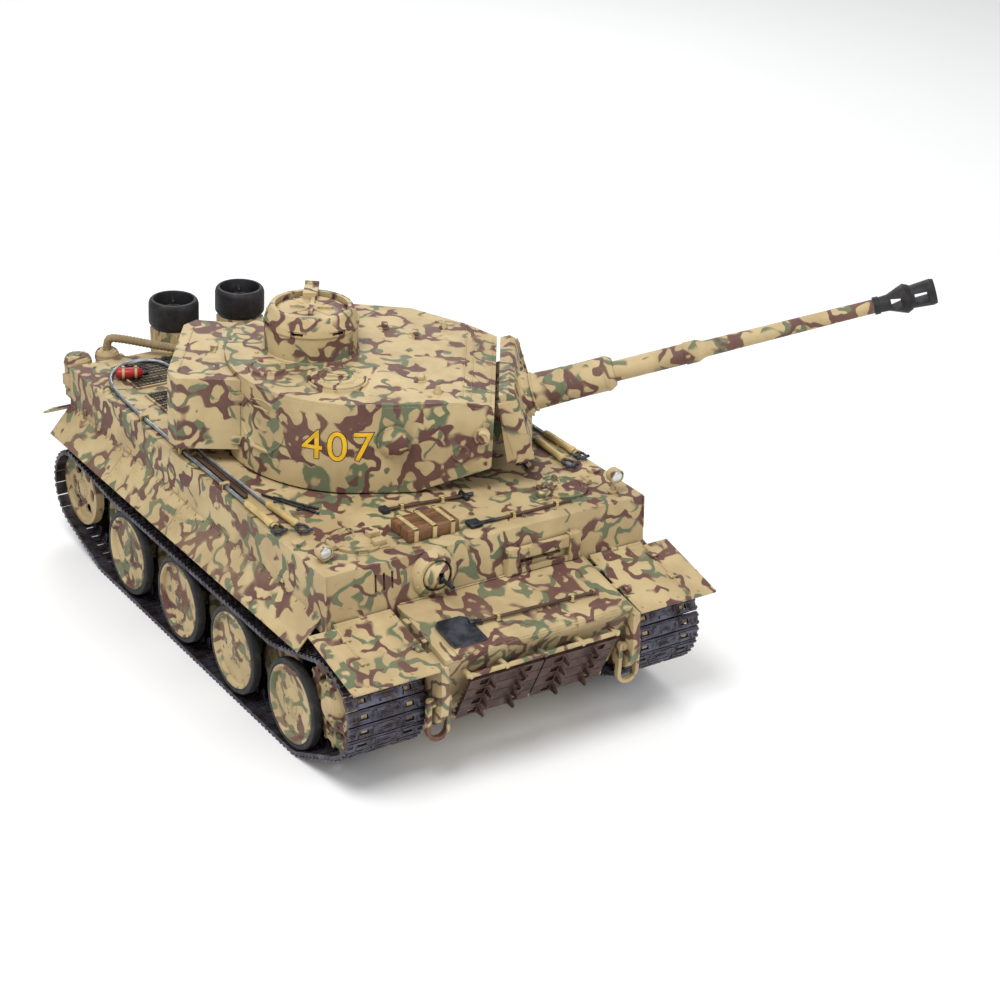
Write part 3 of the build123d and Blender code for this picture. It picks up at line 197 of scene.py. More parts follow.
def camouflage(name, nook_shade_and_rust=0.55, dust=0.0, worn=0.5):
    """Sprayed sand with narrow wriggling olive and red-brown patches, washed and chipped, with painted shade
    darkening its nooks.
    """
    paint = Finish(name)
    tone = paint.noise(34.0, detail=4.0)
    base = paint.mix(paint.step(tone, 0.35, 0.68), SAND_DARK, SAND)
    soft = paint.noise(420.0, detail=3.0)
    wobble = paint.spread(soft, -0.012, 0.012)
    for colour, shift, scale, width in ((OLIVE, (3.1, 1.7, 0.4), 56.0, 0.047),
                                        (RED_BROWN, (0.2, 4.9, 2.6), 60.0, 0.054)):
        swirl = paint.noise(scale, detail=1.6, rough=0.5, twist=0.15, shift=shift)
        off = paint.sum("ABSOLUTE", paint.sum("SUBTRACT", paint.sum("ADD", swirl, wobble), 0.5), 0.0)
        line = paint.step(off, width, width * 0.72)
        gaps = paint.step(paint.noise(58.0, detail=1.0, shift=shift[::-1]), 0.44, 0.50)
        base = paint.mix(paint.sum("MULTIPLY", line, gaps), base, colour)
    wash = paint.step(paint.noise(22.0, detail=6.0, rough=0.65), 0.30, 0.75)
    base = paint.mix(paint.sum("MULTIPLY", wash, 0.14 + dust), base, DUST)
    speck = paint.step(paint.noise(260.0, detail=6.0, rough=0.7), 0.62, 0.78)
    base = paint.mix(paint.sum("MULTIPLY", speck, 0.25), base, GRIME_AND_NOOK_SHADE)
    # painted shade: nooks and overlaps darkened towards dark brown by ambient occlusion
    nook = paint.step(paint.corners(0.006), 0.30, 0.95)
    base = paint.mix(paint.sum("MULTIPLY", nook, nook_shade_and_rust), base, GRIME_AND_NOOK_SHADE)
    chips = paint.sum("MULTIPLY", paint.edges(0.0005),
                      paint.step(paint.noise(300.0, detail=4.0), 0.42, 0.60))
    base = paint.mix(paint.sum("MULTIPLY", chips, worn), base, shade(226, 208, 168))
    rough = paint.spread(paint.noise(150.0, detail=4.0), 0.52, 0.74)
    grain = paint.noise(1900.0, detail=2.0)
    return paint.set(Base_Color=base, Roughness=rough, Specular_IOR_Level=0.35).surface(
        grain, 0.00006, round_edges=0.0004).material


def bare_metal(name, dark, light, rust, rust_amount, metal=0.85, rough=(0.34, 0.58), nook_shade_and_rust=0.6):
    """Dark steel, brighter along its edges where it rubs and as a painted highlight, with rust or mud in its
    nooks.
    """
    steel = Finish(name)
    patches = steel.noise(120.0, detail=5.0, rough=0.6)
    base = steel.mix(steel.step(patches, 0.35, 0.66), dark, light)
    stain = steel.step(steel.noise(85.0, detail=6.0, rough=0.68, shift=(1, 2, 3)), 0.45, 0.66)
    base = steel.mix(steel.sum("MULTIPLY", stain, rust_amount), base, rust)
    nook = steel.sum("MULTIPLY", steel.step(steel.corners(0.005), 0.35, 0.95), nook_shade_and_rust)
    base = steel.mix(nook, base, rust)
    # brighter edges: partly rubbed metal, partly a painted highlight
    bright = steel.edges(0.0004)
    base = steel.mix(steel.sum("MULTIPLY", bright, 0.75), base,
                     tuple(min(1.0, c * 2.6 + 0.02) for c in light))
    shine = steel.spread(steel.noise(300.0, detail=4.0), *rough)
    grain = steel.noise(1300.0, detail=4.0)
    return steel.set(Base_Color=base, Metallic=metal, Roughness=shine).surface(
        grain, 0.00010, round_edges=0.0003).material


def rubber(name):
    """Moulded rubber, dusty where it has rolled."""
    tyre = Finish(name)
    scuff = tyre.step(tyre.noise(160.0, detail=6.0, rough=0.7), 0.46, 0.74)
    base = tyre.mix(tyre.sum("MULTIPLY", scuff, 0.5), shade(30, 30, 32), shade(84, 76, 66))
    rough = tyre.spread(tyre.noise(240.0), 0.55, 0.85)
    return tyre.set(Base_Color=base, Roughness=rough).surface(
        tyre.noise(1500.0, detail=3.0), 0.00008, round_edges=0.0003).material


def grained_wood(name, pale, dark, stretch, fine=1.0):
    """Planed wood with long grain and a waxed surface, with painted shade in its nooks."""
    wood = Finish(name)
    figure = wood.noise(170.0 * fine, detail=5.0, rough=0.6, twist=1.4, stretch=stretch)
    base = wood.mix(wood.step(figure, 0.32, 0.66), dark, pale)
    pore = wood.step(wood.noise(900.0 * fine, detail=3.0, stretch=stretch), 0.58, 0.70)
    base = wood.mix(wood.sum("MULTIPLY", pore, 0.5), base, tuple(c * 0.45 for c in dark))
    # painted shade: nooks darkened by ambient occlusion
    nook = wood.sum("MULTIPLY", wood.step(wood.corners(0.004), 0.4, 0.95), 0.6)
    base = wood.mix(nook, base, GRIME_AND_NOOK_SHADE)
    return wood.set(Base_Color=base, Roughness=wood.spread(figure, 0.45, 0.68)).surface(
        figure, 0.00015, round_edges=0.0003).material


def enamel(name, colour, chipped, rough=0.3):
    """Glossy paint with rubbed edges and small chips, and painted shade in its nooks."""
    coat = Finish(name)
    cloud = coat.step(coat.noise(140.0, detail=5.0), 0.35, 0.7)
    base = coat.mix(cloud, colour, tuple(c * 0.72 for c in colour))
    chips = coat.sum("MAXIMUM", coat.sum("MULTIPLY", coat.edges(0.0003), 0.7),
                     coat.step(coat.noise(500.0, detail=3.0), 0.70, 0.74))
    base = coat.mix(chips, base, chipped)
    # painted shade: nooks darkened by ambient occlusion
    nook = coat.sum("MULTIPLY", coat.step(coat.corners(0.004), 0.4, 0.95), 0.5)
    base = coat.mix(nook, base, GRIME_AND_NOOK_SHADE)
    return coat.set(Base_Color=base, Roughness=coat.spread(cloud, rough, rough + 0.2)).surface(
        coat.noise(900.0), 0.00005, round_edges=0.0002).material


camo = camouflage("camouflage_paint")
# The dusty copy adds dust and stronger painted shade in its nooks; the deck copy has the strongest painted
# shade in its nooks.
camo_low = camouflage("camouflage_paint_dusty_and_shaded", nook_shade_and_rust=0.7, dust=0.16)
camo_deck = camouflage("camouflage_paint_heavy_nook_shade", nook_shade_and_rust=0.95, dust=0.05, worn=0.3)
tyre_rubber = rubber("tyre_rubber")
track_steel = bare_metal("track_steel", shade(44, 38, 38), shade(92, 92, 104), shade(66, 48, 40), 0.6)
spare_steel = bare_metal("spare_link_steel", shade(58, 42, 38), shade(92, 72, 66), shade(84, 54, 42), 0.7,
                         metal=0.6)
tool_steel = bare_metal("tool_steel", shade(44, 46, 52), shade(84, 88, 98), shade(60, 48, 40), 0.25)
gun_steel = bare_metal("gun_steel", shade(36, 36, 40), shade(70, 72, 80), shade(50, 44, 40), 0.2)
soot_metal = bare_metal("sooty_metal", shade(24, 24, 26), shade(44, 44, 48), shade(52, 40, 32), 0.4,
                        metal=0.4, rough=(0.45, 0.75))
rope_steel = bare_metal("rope_steel", shade(96, 100, 108), shade(158, 164, 174), shade(98, 82, 66), 0.3,
                        metal=0.9, rough=(0.28, 0.45))
brass_tan = enamel("sleeve_paint", shade(196, 170, 112), shade(128, 112, 84), rough=0.42)
dark_wood = grained_wood("dark_wood", shade(92, 62, 44), shade(52, 36, 28), (1.0, 0.12, 1.0))
board_wood = grained_wood("board_wood", shade(88, 64, 50), shade(56, 42, 34), (0.12, 1.0, 1.0))
block_wood = grained_wood("block_wood", shade(132, 92, 58), shade(88, 60, 38), (1.0, 0.15, 1.0), fine=1.6)
red_enamel = enamel("red_enamel", shade(176, 24, 22), shade(96, 62, 56))
hose_paint = enamel("hose_paint", shade(150, 128, 92), shade(86, 72, 56), rough=0.55)
strap_paint = enamel("strap_paint", shade(200, 178, 126), shade(120, 104, 78), rough=0.5)
number_yellow = enamel("number_yellow", shade(238, 186, 18), shade(206, 176, 110), rough=0.5)
number_edge = enamel("number_edge", shade(58, 44, 30), shade(96, 80, 60), rough=0.55)
cell_sleeve = enamel("battery_sleeve", shade(38, 72, 140), shade(140, 150, 170), rough=0.35)
board_green = enamel("circuit_board", shade(20, 84, 50), shade(170, 150, 70), rough=0.35)
gear_plastic = enamel("gear_plastic", shade(226, 224, 214), shade(180, 178, 168), rough=0.4)

glass = Finish("lamp_glass")
facets = glass.noise(700.0, detail=1.0)
lamp_glass = glass.set(
    Base_Color=glass.mix(facets, (0.50, 0.52, 0.50), (0.72, 0.74, 0.72)),
    Roughness=glass.spread(facets, 0.06, 0.16), Metallic=0.35).surface(facets, 0.0002).material

SLOT_FINISH = {
    "camo_paint": camo, "road_wheel": camo_low, "track_steel": track_steel,
    "suspension_steel": camo_low, "gun_steel": gun_steel, "black_metal": soot_metal,
    "cable_steel": rope_steel, "wood": dark_wood, "red_paint": red_enamel, "hose_rubber": hose_paint,
    "lamp": camo, "battery_sleeve": cell_sleeve, "circuit_board": board_green,
    "gear_plastic": gear_plastic,
}
NODE_FINISH = {
    "gun_mantlet": camo, "gun_barrel": camo, "muzzle_brake": soot_metal, "engine_deck": camo_deck,
    "lower_hull": camo_low, "side_skirt_right": camo_low,
    "side_skirt_left": camo_low,
}
slot_of = {part["node"]: part["material_slot"] for part in frame["record"]["subparts"]}
for name, node in frame["nodes"].items():
    finish = NODE_FINISH.get(name) or SLOT_FINISH[slot_of[name]]
    node.data.materials.clear()
    node.data.materials.append(finish)

# ------------------------------------------------------------ maker's bench
def bench():
    return bmesh.new()


def put(shape, name, body, slot, *finishes, place=Matrix.Identity(4), replaces=(), smooth=38.0):
    """Turns a shape from millimetres into a finished piece that rides on a body."""
    bmesh.ops.recalc_face_normals(shape, faces=shape.faces)
    shape.transform(Matrix.Diagonal((MM, MM, MM, 1.0)) @ place)
    mesh = bpy.data.meshes.new(name)
    shape.to_mesh(mesh)
    shape.free()
    for finish in finishes:
        mesh.materials.append(finish)
    mesh.polygons.foreach_set("use_smooth", [True] * len(mesh.polygons))
    mesh.set_sharp_from_angle(angle=math.radians(smooth))
    piece = bpy.data.objects.new(name, mesh)
    bpy.context.scene.collection.objects.link(piece)
    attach(piece, body)
    if replaces:
        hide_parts(*replaces)
    return piece


def aim(start, end):
    """A frame at the start whose Z runs to the end."""
    run = Vector(end) - Vector(start)
    return Matrix.Translation(start) @ run.to_track_quat("Z", "X").to_matrix().to_4x4(), run.length


def tint(verts, material):
    for face in {face for vert in verts for face in vert.link_faces}:
        face.material_index = material


def round_off(shape, verts, bevel, segments=2):
    edges = list({edge for vert in verts for edge in vert.link_edges
                  if len(edge.link_faces) == 2 and edge.calc_face_angle(0.0) > 0.6})
    bmesh.ops.bevel(shape, geom=edges, offset=bevel, segments=segments, profile=0.5,
                    affect="EDGES", material=-1)


def block(shape, low, high, bevel=0.0, turn=None, material=0):
    size = [b - a for a, b in zip(low, high)]
    middle = Vector([(a + b) / 2 for a, b in zip(low, high)])
    matrix = Matrix.Translation(middle) @ (turn or Matrix.Identity(4)) @ Matrix.Diagonal((*size, 1.0))
    verts = bmesh.ops.create_cube(shape, size=1.0, matrix=matrix)["verts"]
    tint(verts, material)
    if bevel:
        round_off(shape, verts, bevel)


def rod(shape, start, end, radius, sides=12, tip=None, material=0, bevel=0.0):
    frame_at, length = aim(start, end)
    verts = bmesh.ops.create_cone(
        shape, cap_ends=True, segments=sides, radius1=radius, radius2=radius if tip is None else tip,
        depth=length, matrix=frame_at @ Matrix.Translation((0, 0, length / 2)))["verts"]
    tint(verts, material)
    if bevel:
        round_off(shape, verts, bevel, 1)


def turned(shape, start, end, outline, steps=32, material=0):
    """An outline of (distance from the start towards the end, radius), spun round that line."""
    frame_at, _ = aim(start, end)
    verts = [shape.verts.new((radius, 0, along)) for along, radius in outline]
    edges = [shape.edges.new(pair) for pair in zip(verts, verts[1:])]
    made = bmesh.ops.spin(shape, geom=verts + edges, cent=(0, 0, 0), axis=(0, 0, 1), steps=steps,
                          angle=2 * math.pi, use_merge=True, use_duplicate=False)
    front = set(verts) | {item for item in made["geom_last"] if isinstance(item, bmesh.types.BMVert)}
    grown = set(front)
    while front:
        front = {edge.other_vert(vert) for vert in front for edge in vert.link_edges} - grown
        grown |= front
    grown = list(grown)
    bmesh.ops.remove_doubles(shape, verts=grown, dist=0.001)
    grown = [vert for vert in grown if vert.is_valid]
    bmesh.ops.transform(shape, matrix=frame_at, verts=grown)
    tint(grown, material)


def bolt(shape, at, out, radius=0.8, height=0.6, material=0):
    """A hexagon head that stands on a surface."""
    end = Vector(at) + Vector(out).normalized() * height
    rod(shape, Vector(at) - Vector(out).normalized() * 0.2, end, radius, sides=6, tip=radius * 0.86,
        material=material)


def around(centre, radius, count, plane="xy", offset=0.0):
    """Points spread evenly round a circle, each with its direction from the centre."""
    for step in range(count):
        turn = 2 * math.pi * (step + offset) / count
        way = Vector((0, 0, 0))
        way["xyz".index(plane[0])] = math.cos(turn)
        way["xyz".index(plane[1])] = math.sin(turn)
        yield Vector(centre) + way * radius, way


def bolt_ring(shape, centre, radius, count, out, size, height, plane="xy", offset=0.0):
    for at, _ in around(centre, radius, count, plane, offset):
        bolt(shape, at, out, size, height)


def hoop(middle, across, rise, count, turn=math.pi):
    """Points of an arched bar that starts across from its middle and goes over the rise."""
    return [Vector(middle) + Vector(across) * math.cos(t) + Vector(rise) * math.sin(t)
            for t in np.linspace(0, turn, count)]


def band(low, high, inner, outer):
    """The outline of a flat ring, from low to high along its axis."""
    return [(low, inner), (low, outer), (high, outer), (high, inner), (low, inner)]


def bead(shape, points, radius=0.55):
    """A run of weld, laid as short overlapping ripples."""
    for start, end in zip(points, points[1:]):
        frame_at, length = aim(start, end)
        count = max(2, int(length / (radius * 2.2)))
        outline = [(0.0, 0.0)]
        for ripple in range(count):
            middle = (ripple + 0.5) * length / count
            outline += [(middle - length / count * 0.35, radius * 0.82), (middle, radius)]
        outline.append((length, 0.0))
        turned(shape, start, end, outline, steps=6)


# ------------------------------------------------------------------- wheels
def road_wheel(name, side, axle):
    """Dished discs with a bolted rim, a hub cap and a rubber tyre each."""
    near, far = ((16.0, 21.8) if axle % 2 == 0 else (2.2, 7.2))
    x = FIRST_AXLE_X - axle * WHEEL_PITCH
    centre = Vector((x, side * TRACK_Y, WHEEL_Z))
    wheel = bench()
    for sign in (-1, 1):
        out = Vector((0, side * sign, 0))
        disc = [(near, 0), (near, RIM_R), (near + 0.3, RIM_R + 0.1), (far - 0.3, RIM_R + 0.1),
                (far, RIM_R), (far, RIM_R - 1.2), (far - 0.5, RIM_R - 1.7), (far - 2.5, RIM_R - 2.3),
                (far - 2.6, RIM_R - 3.0), (far - 2.2, 11.0), (far - 2.4, 8.6), (far - 1.8, 8.0),
                (far - 1.5, 6.4), (far - 1.2, 5.8), (far - 0.7, 5.6), (far - 0.5, 4.9), (far - 0.5, 3.4),
                (far - 0.9, 2.8), (far - 0.9, 0)]
        turned(wheel, centre, centre + out, disc, steps=48)
        tyre = [(near + 0.2, RIM_R - 0.2), (near + 0.2, WHEEL_R - 1.2), (near + 0.7, WHEEL_R - 0.3),
                (near + 1.5, WHEEL_R), (far - 1.4, WHEEL_R), (far - 0.6, WHEEL_R - 0.3),
                (far - 0.1, WHEEL_R - 1.2), (far - 0.1, RIM_R + 0.9), (far - 0.5, RIM_R + 0.6),
                (far - 0.5, RIM_R - 0.2), (near + 0.2, RIM_R - 0.2)]
        turned(wheel, centre, centre + out, tyre, steps=64, material=1)
        if sign > 0:
            for count, ring, size, face in ((6, 4.1, 0.55, far - 0.5), (12, 16.9, 0.5, far - 2.5),
                                            (6, 9.6, 0.75, far - 2.3)):
                bolt_ring(wheel, centre + out * face, ring, count, out, size, 0.5, "xz")
    rod(wheel, centre - Vector((0, near + 0.5, 0)), centre + Vector((0, near + 0.5, 0)), 6.0, sides=32)
    node = f"road_wheel_{name}_{axle + 1}"
    put(wheel, f"dished_wheel_{name}_{axle + 1}", node, "road_wheel", camo_low, tyre_rubber,
        replaces=[node])


for side_name, side in SIDES.items():
    for axle in range(AXLES):
        road_wheel(side_name, side, axle)


# ------------------------------------------------------------------- tracks
PLATE_T = 1.8
GROUSER = 1.0
TEETH = 20
LINKS = 96
SAG_R = 55.0
BELT_OFF = 1.2              # link plate's middle above the rim it runs on


def arc(centre, radius, start, end):
    turn = np.radians(np.linspace(start, end, 80))
    return np.column_stack((centre[0] + radius * np.cos(turn), centre[1] + radius * np.sin(turn)))


def touch(centre_a, radius_a, centre_b, radius_b, side):
    """Directions, in degrees, of the touching points of a belt run between two rounds."""
    run = np.subtract(centre_b, centre_a)
    lean = math.degrees(math.acos((radius_a - radius_b) / np.hypot(*run)))
    return math.degrees(math.atan2(run[1], run[0])) + side * lean


def fillet(before, corner, after, radius):
    """An arc that eases the belt from one run to the next."""
    corner = np.array(corner)
    a = np.subtract(before, corner) / np.hypot(*np.subtract(before, corner))
    b = np.subtract(after, corner) / np.hypot(*np.subtract(after, corner))
    half = math.acos(float(np.clip(a @ b, -1, 1))) / 2
    middle = corner + (a + b) / np.hypot(*(a + b)) * radius / math.sin(half)
    ends = [math.degrees(math.atan2(*(corner + way * radius / math.tan(half) - middle)[::-1]))
            for way in (a, b)]
    ends[1] = ends[0] + (ends[1] - ends[0] + 180) % 360 - 180
    return arc(middle, radius, *ends)


def belt_line():
    """Places and directions of the links, in the side view."""
    front = (FIRST_AXLE_X, WHEEL_Z)
    rear = (FIRST_AXLE_X - (AXLES - 1) * WHEEL_PITCH, WHEEL_Z)
    round_r, idler_r = WHEEL_R + BELT_OFF, 22.0 + BELT_OFF
    sprocket_r = 25.9
    landing, lifting = (front[0] - 18, WHEEL_Z + round_r), (rear[0] + 16, WHEEL_Z + round_r)
    for _ in range(12):
        rise = touch(front, round_r, SPROCKET, sprocket_r, -1)
        crown = touch(landing, 0, SPROCKET, sprocket_r, 1)
        back = touch(lifting, 0, IDLER, idler_r, -1) % 360
        drop = touch(rear, round_r, IDLER, idler_r, 1) % 360
        over = arc(SPROCKET, sprocket_r, rise, crown)
        under = arc(IDLER, idler_r, back, drop)
        way = np.vstack((arc(rear, round_r, -90, -90)[:1], arc(front, round_r, -90, rise), over,
                         fillet(over[-1], landing, lifting, SAG_R),
                         fillet(landing, lifting, under[0], SAG_R), under,
                         arc(rear, round_r, drop, 270)))
        reach = np.concatenate(([0], np.cumsum(np.hypot(*np.diff(way, axis=0).T))))
        sprocket_r = TEETH * reach[-1] / LINKS / (2 * math.pi)
    at = np.arange(LINKS) * reach[-1] / LINKS
    step = 0.5
    spots = [np.interp((at + off) % reach[-1], reach, column) for off in (-step, 0, step)
             for column in way.T]
    return [(Vector((x, z)), Vector((x2 - x0, z2 - z0)).normalized())
            for x0, z0, x, z, x2, z2 in zip(*spots)], reach[-1] / LINKS


LINK_SPOTS, LINK_PITCH = belt_line()


def cast_link(shape, place):
    """One cast link: windowed plate, paired grousers with a notch, pin bosses and two horns."""
    fresh = bench()
    half, long = TRACK_W / 2, LINK_PITCH / 2 - 0.35
    for low, high in ((-half, -16.0), (-10.9, 10.9), (16.0, half)):
        block(fresh, (-long, low, -PLATE_T / 2), (long, high, PLATE_T / 2))
    for y in (-13.45, 13.45):
        for x in (-1, 1):
            block(fresh, (x * 3.0 - 0.75, y - 2.6, -PLATE_T / 2), (x * 3.0 + 0.75, y + 2.6, PLATE_T / 2))
    for low, high in ((-half, -half + 4.2), (-16.5, -10.6), (-3.0, 3.0), (10.6, 16.5), (half - 4.2, half)):
        block(fresh, (-2.8, low, PLATE_T / 2 - 0.1), (-1.3, high, PLATE_T / 2 + GROUSER))
    for low, high in ((-half, -9.6), (-6.4, 6.4), (9.6, half)):
        block(fresh, (1.4, low, PLATE_T / 2 - 0.1), (2.8, high, PLATE_T / 2 + GROUSER))
    for y in (-18.4, -7.6, 7.6, 18.4):
        block(fresh, (-1.5, y - 0.6, PLATE_T / 2 - 0.1), (1.6, y + 0.6, PLATE_T / 2 + GROUSER * 0.8))
    for y in (-9.4, 9.4):
        verts = bmesh.ops.create_cone(
            fresh, cap_ends=True, segments=4, radius1=3.4, radius2=1.3, depth=5.4,
            matrix=Matrix.Translation((0, y, -PLATE_T / 2 - 2.7)) @ Matrix.Diagonal((1, 0.42, -1, 1))
            @ Matrix.Rotation(math.pi / 4, 4, "Z"))["verts"]
        tint(verts, 0)
    mesh = bpy.data.meshes.new("link")
    fresh.transform(place)
    fresh.to_mesh(mesh)
    fresh.free()
    shape.from_mesh(mesh)
    bpy.data.meshes.remove(mesh)


for side_name, side in SIDES.items():
    track = bench()
    for spot, way in LINK_SPOTS:
        cast_link(track, Matrix.Translation((spot.x, side * TRACK_Y, spot.y))
                  @ Matrix(((way.x, 0, way.y), (0, 1, 0), (way.y, 0, -way.x))).to_4x4())
    node = f"track_{side_name}"
    put(track, f"cast_track_{side_name}", "hull", "track_steel", track_steel, replaces=[node], smooth=25)

# --- spare links on the nose, horns outward, under two retaining bars ---
nose_foot, nose_head = Vector((167.5, 0, 33.0)), Vector((184.7, 0, 71.5))
nose_up = (nose_head - nose_foot).normalized()
nose_out = Vector((nose_up.z, 0, -nose_up.x))
spare = bench()
for row in range(4):
    low = nose_foot + nose_up * (6.5 + row * (LINK_PITCH + 0.1)) + nose_out * 7.6
    for y in (-TRACK_W / 2 - 0.6, TRACK_W / 2 + 0.6):
        axes = Matrix((nose_up, Vector((0, -1, 0)), -nose_out)).transposed()
        cast_link(spare, Matrix.Translation((low.x, y, low.z)) @ axes.to_4x4())
put(spare, "spare_links_cast", "hull", "track_steel", spare_steel, replaces=["spare_track_links"],
    smooth=25)
rack = bench()
for along in (3.6, 37.0):
    at = nose_foot + nose_up * along + nose_out * 6.4
    block(rack, (at.x - 0.9, -48, at.z - 1.1), (at.x + 0.9, 48, at.z + 1.1), bevel=0.3)
    for y in (-46, -24, 0, 24, 46):
        bolt(rack, (at.x + 0.8, y, at.z), nose_out, 1.3, 1.1)
        block(rack, (at.x - 6.4, y - 1.2, at.z - 0.8), (at.x, y + 1.2, at.z + 0.8))
put(rack, "spare_link_rack", "hull", "camo_paint", camo)


# ------------------------------------------------------------- tow cables
def smooth_way(points):
    """Points along the even curve that a rope takes past these points."""
    data = bpy.data.curves.new("way", "CURVE")
    data.dimensions = "3D"
    spline = data.splines.new("NURBS")
    spline.points.add(len(points) - 1)
    for knot, point in zip(spline.points, points):
        knot.co = (*point, 1.0)
    spline.order_u = 3
    spline.use_endpoint_u = True
    spline.resolution_u = 24
    holder = bpy.data.objects.new("way", data)
    bpy.context.scene.collection.objects.link(holder)
    mesh = bpy.data.meshes.new_from_object(holder)
    way = [vert.co.copy() for vert in mesh.vertices]
    bpy.data.objects.remove(holder)
    bpy.data.meshes.remove(mesh)
    return way


def evened(way, step):
    """The same way, in equal steps."""
    way = np.array([tuple(point) for point in way])
    reach = np.concatenate(([0], np.cumsum(np.linalg.norm(np.diff(way, axis=0), axis=1))))
    at = np.arange(0, reach[-1], step)
    return [Vector(point) for point in zip(*(np.interp(at, reach, column) for column in way.T))]


def tube(shape, way, radii, sides=8, material=0):
    """A closed tube through the way, with the radii taken in turn."""
    rings = []
    for index, point in enumerate(way):
        run = way[min(index + 1, len(way) - 1)] - way[max(index - 1, 0)]
        matrix = Matrix.Translation(point) @ run.to_track_quat("Z", "Y").to_matrix().to_4x4()
        rings.append(bmesh.ops.create_circle(shape, cap_ends=index in (0, len(way) - 1), segments=sides,
                                             radius=radii[index % len(radii)], matrix=matrix)["verts"])
    for low, high in zip(rings, rings[1:]):
        for step in range(sides):
            shape.faces.new((low[step], low[(step + 1) % sides], high[(step + 1) % sides], high[step]))
    tint([vert for ring in rings for vert in ring], material)


CABLE_Z = 110.15
CABLE_RUN = [(46, 97.0), (-28, 96.3), (-103, 95.5), (-143, 90.0), (-161, 68), (-150, 46), (-104, 54),
             (-64, 80), (-24, 88.4), (14, 87.9), (52, 87.4)]
STRANDS = 6
LAY = 9.0
SLEEVE_RISE = 0.8
for side_name, side in SIDES.items():
    rope = bench()
    way = evened(smooth_way([(x, side * y, CABLE_Z) for x, y in CABLE_RUN]), 0.9)
    for strand in range(STRANDS):
        wound = []
        for index, point in enumerate(way):
            run = (way[min(index + 1, len(way) - 1)] - way[max(index - 1, 0)]).normalized()
            flat = run.cross(Vector((0, 0, 1)))
            turn = 2 * math.pi * (strand / STRANDS + index * 0.9 / LAY)
            wound.append(point + (flat * math.cos(turn) + Vector((0, 0, 1)) * math.sin(turn)) * 0.72)
        tube(rope, wound, [0.42], sides=5)
    node = f"tow_cable_{side_name}"
    put(rope, f"tow_rope_{side_name}", "hull", "cable_steel", rope_steel, replaces=[node])
    ends = bench()
    for (x, y), toe in ((CABLE_RUN[0], 0.0), (CABLE_RUN[-1], -2.0)):
        start = Vector((x - 1, side * y, CABLE_Z + SLEEVE_RISE))
        stop = Vector((x + 28, side * (y + toe), CABLE_Z + SLEEVE_RISE))
        turned(ends, start, stop, [(0, 0), (0, 1.5), (1.2, 1.9), (3.0, 2.0), (24.0, 2.0), (25.5, 2.3),
                                   (28.0, 2.3), (29.0, 1.6), (29.0, 0)], steps=20)
        eye = stop + Vector((4.6, 0, -0.1))
        tube(ends, hoop(eye, (4.6, 0, 0), (0, 3.0, 0), 25, 2 * math.pi), [0.85], material=1)
        rod(ends, eye + Vector((3.6, -4.2, 0)), eye + Vector((3.6, 4.2, 0)), 0.9, material=1, bevel=0.2)
    put(ends, f"tow_rope_ends_{side_name}", "hull", "cable_steel", brass_tan, tool_steel)

# ------------------------------------------------------------ filter hoses
hoses = bench()
for side in SIDES.values():
    way = evened(smooth_way([(-182.8, side * 70, 109.7), (-182.8, side * 70, 116.5),
                             (-179, side * 66.2, 118.2), (-160, side * 46, 115.9),
                             (-150, side * 32, 114.4), (-146, side * 24, 113.6)]), 0.55)
    tube(hoses, way, [2.35, 2.62, 2.62, 2.35], sides=16)
put(hoses, "ribbed_hoses", "hull", "hose_rubber", hose_paint, replaces=["filter_hoses"])

# -------------------------------------------------------- fire extinguisher
BOTTLE_R = 3.3
bottle = bench()
low, high = Vector((-140.3, -84.4, 112.8)), Vector((-133.8, -69.6, 112.8))
turned(bottle, low, high, [(0, 0), (0, 2.0), (0.6, 2.9), (1.4, BOTTLE_R), (13.2, BOTTLE_R), (14.6, 2.9),
                           (15.6, 1.7), (16.2, 1.3), (16.2, 0)], steps=32)
run = (high - low).normalized()
rod(bottle, high - run * 0.2, high + run * 3.2, 1.5, material=1, bevel=0.25)
rod(bottle, high + run * 2.0, high + run * 2.0 + UP * 3.0, 0.5, material=1)
rod(bottle, high + run * 1.4 + UP * 2.6, high - run * 2.8 + UP * 4.2, 0.45, material=1)
for along in (3.6, 11.0):
    turned(bottle, low + run * along, high, [(0, 3.2), (0, 3.65), (1.5, 3.65), (1.5, 3.2)],
           steps=32, material=2)
    at = low + run * (along + 0.75)
    for reach, bottom, top, bevel in ((1.2, ROOF_Z, ROOF_Z + 1.1, 0.0), (0.8, ROOF_Z + 7.3, ROOF_Z + 8.5, 0.2)):
        block(bottle, (at.x - reach, at.y - reach, bottom), (at.x + reach, at.y + reach, top),
              bevel=bevel, material=2)
put(bottle, "red_bottle", "hull", "red_paint", red_enamel, tool_steel, strap_paint,
    replaces=["fire_extinguisher"])

# ---------------------------------------------------------------- jack block
jack = bench()
for low_y, high_y in ((-43.6, -28.2), (-27.8, -12.4)):
    for low_x, high_x in ((104.2, 113.3), (113.7, 122.8)):
        block(jack, (low_x, low_y, 108.95), (high_x, high_y, 115.6), bevel=0.5)
for y in (-40.5, -29.2, -18.0):
    for low_x, high_x, low_z in ((103.3, 104.3, 108.9), (122.7, 123.7, 108.9), (103.3, 123.7, 115.6)):
        block(jack, (low_x, y, low_z), (high_x, y + 2.4, 116.4), bevel=0.15, material=1)
    for x in (106.0, 121.0):
        bolt(jack, (x, y + 1.2, 116.4), UP, 0.7, 0.5, material=1)
put(jack, "jack_block_bound", "hull", "wood", block_wood, strap_paint, replaces=["jack_block"])

# --------------------------------------------------------------- hand tools
GLACIS_TOP, GLACIS_FOOT = (136.7, 83.6), (184.7, 74.5)      # x, z


def glacis_z(x):
    lean = (GLACIS_FOOT[1] - GLACIS_TOP[1]) / (GLACIS_FOOT[0] - GLACIS_TOP[0])
    return GLACIS_TOP[1] + (x - GLACIS_TOP[0]) * lean


def on_glacis(x, y, lift):
    return x, y, glacis_z(x) + lift


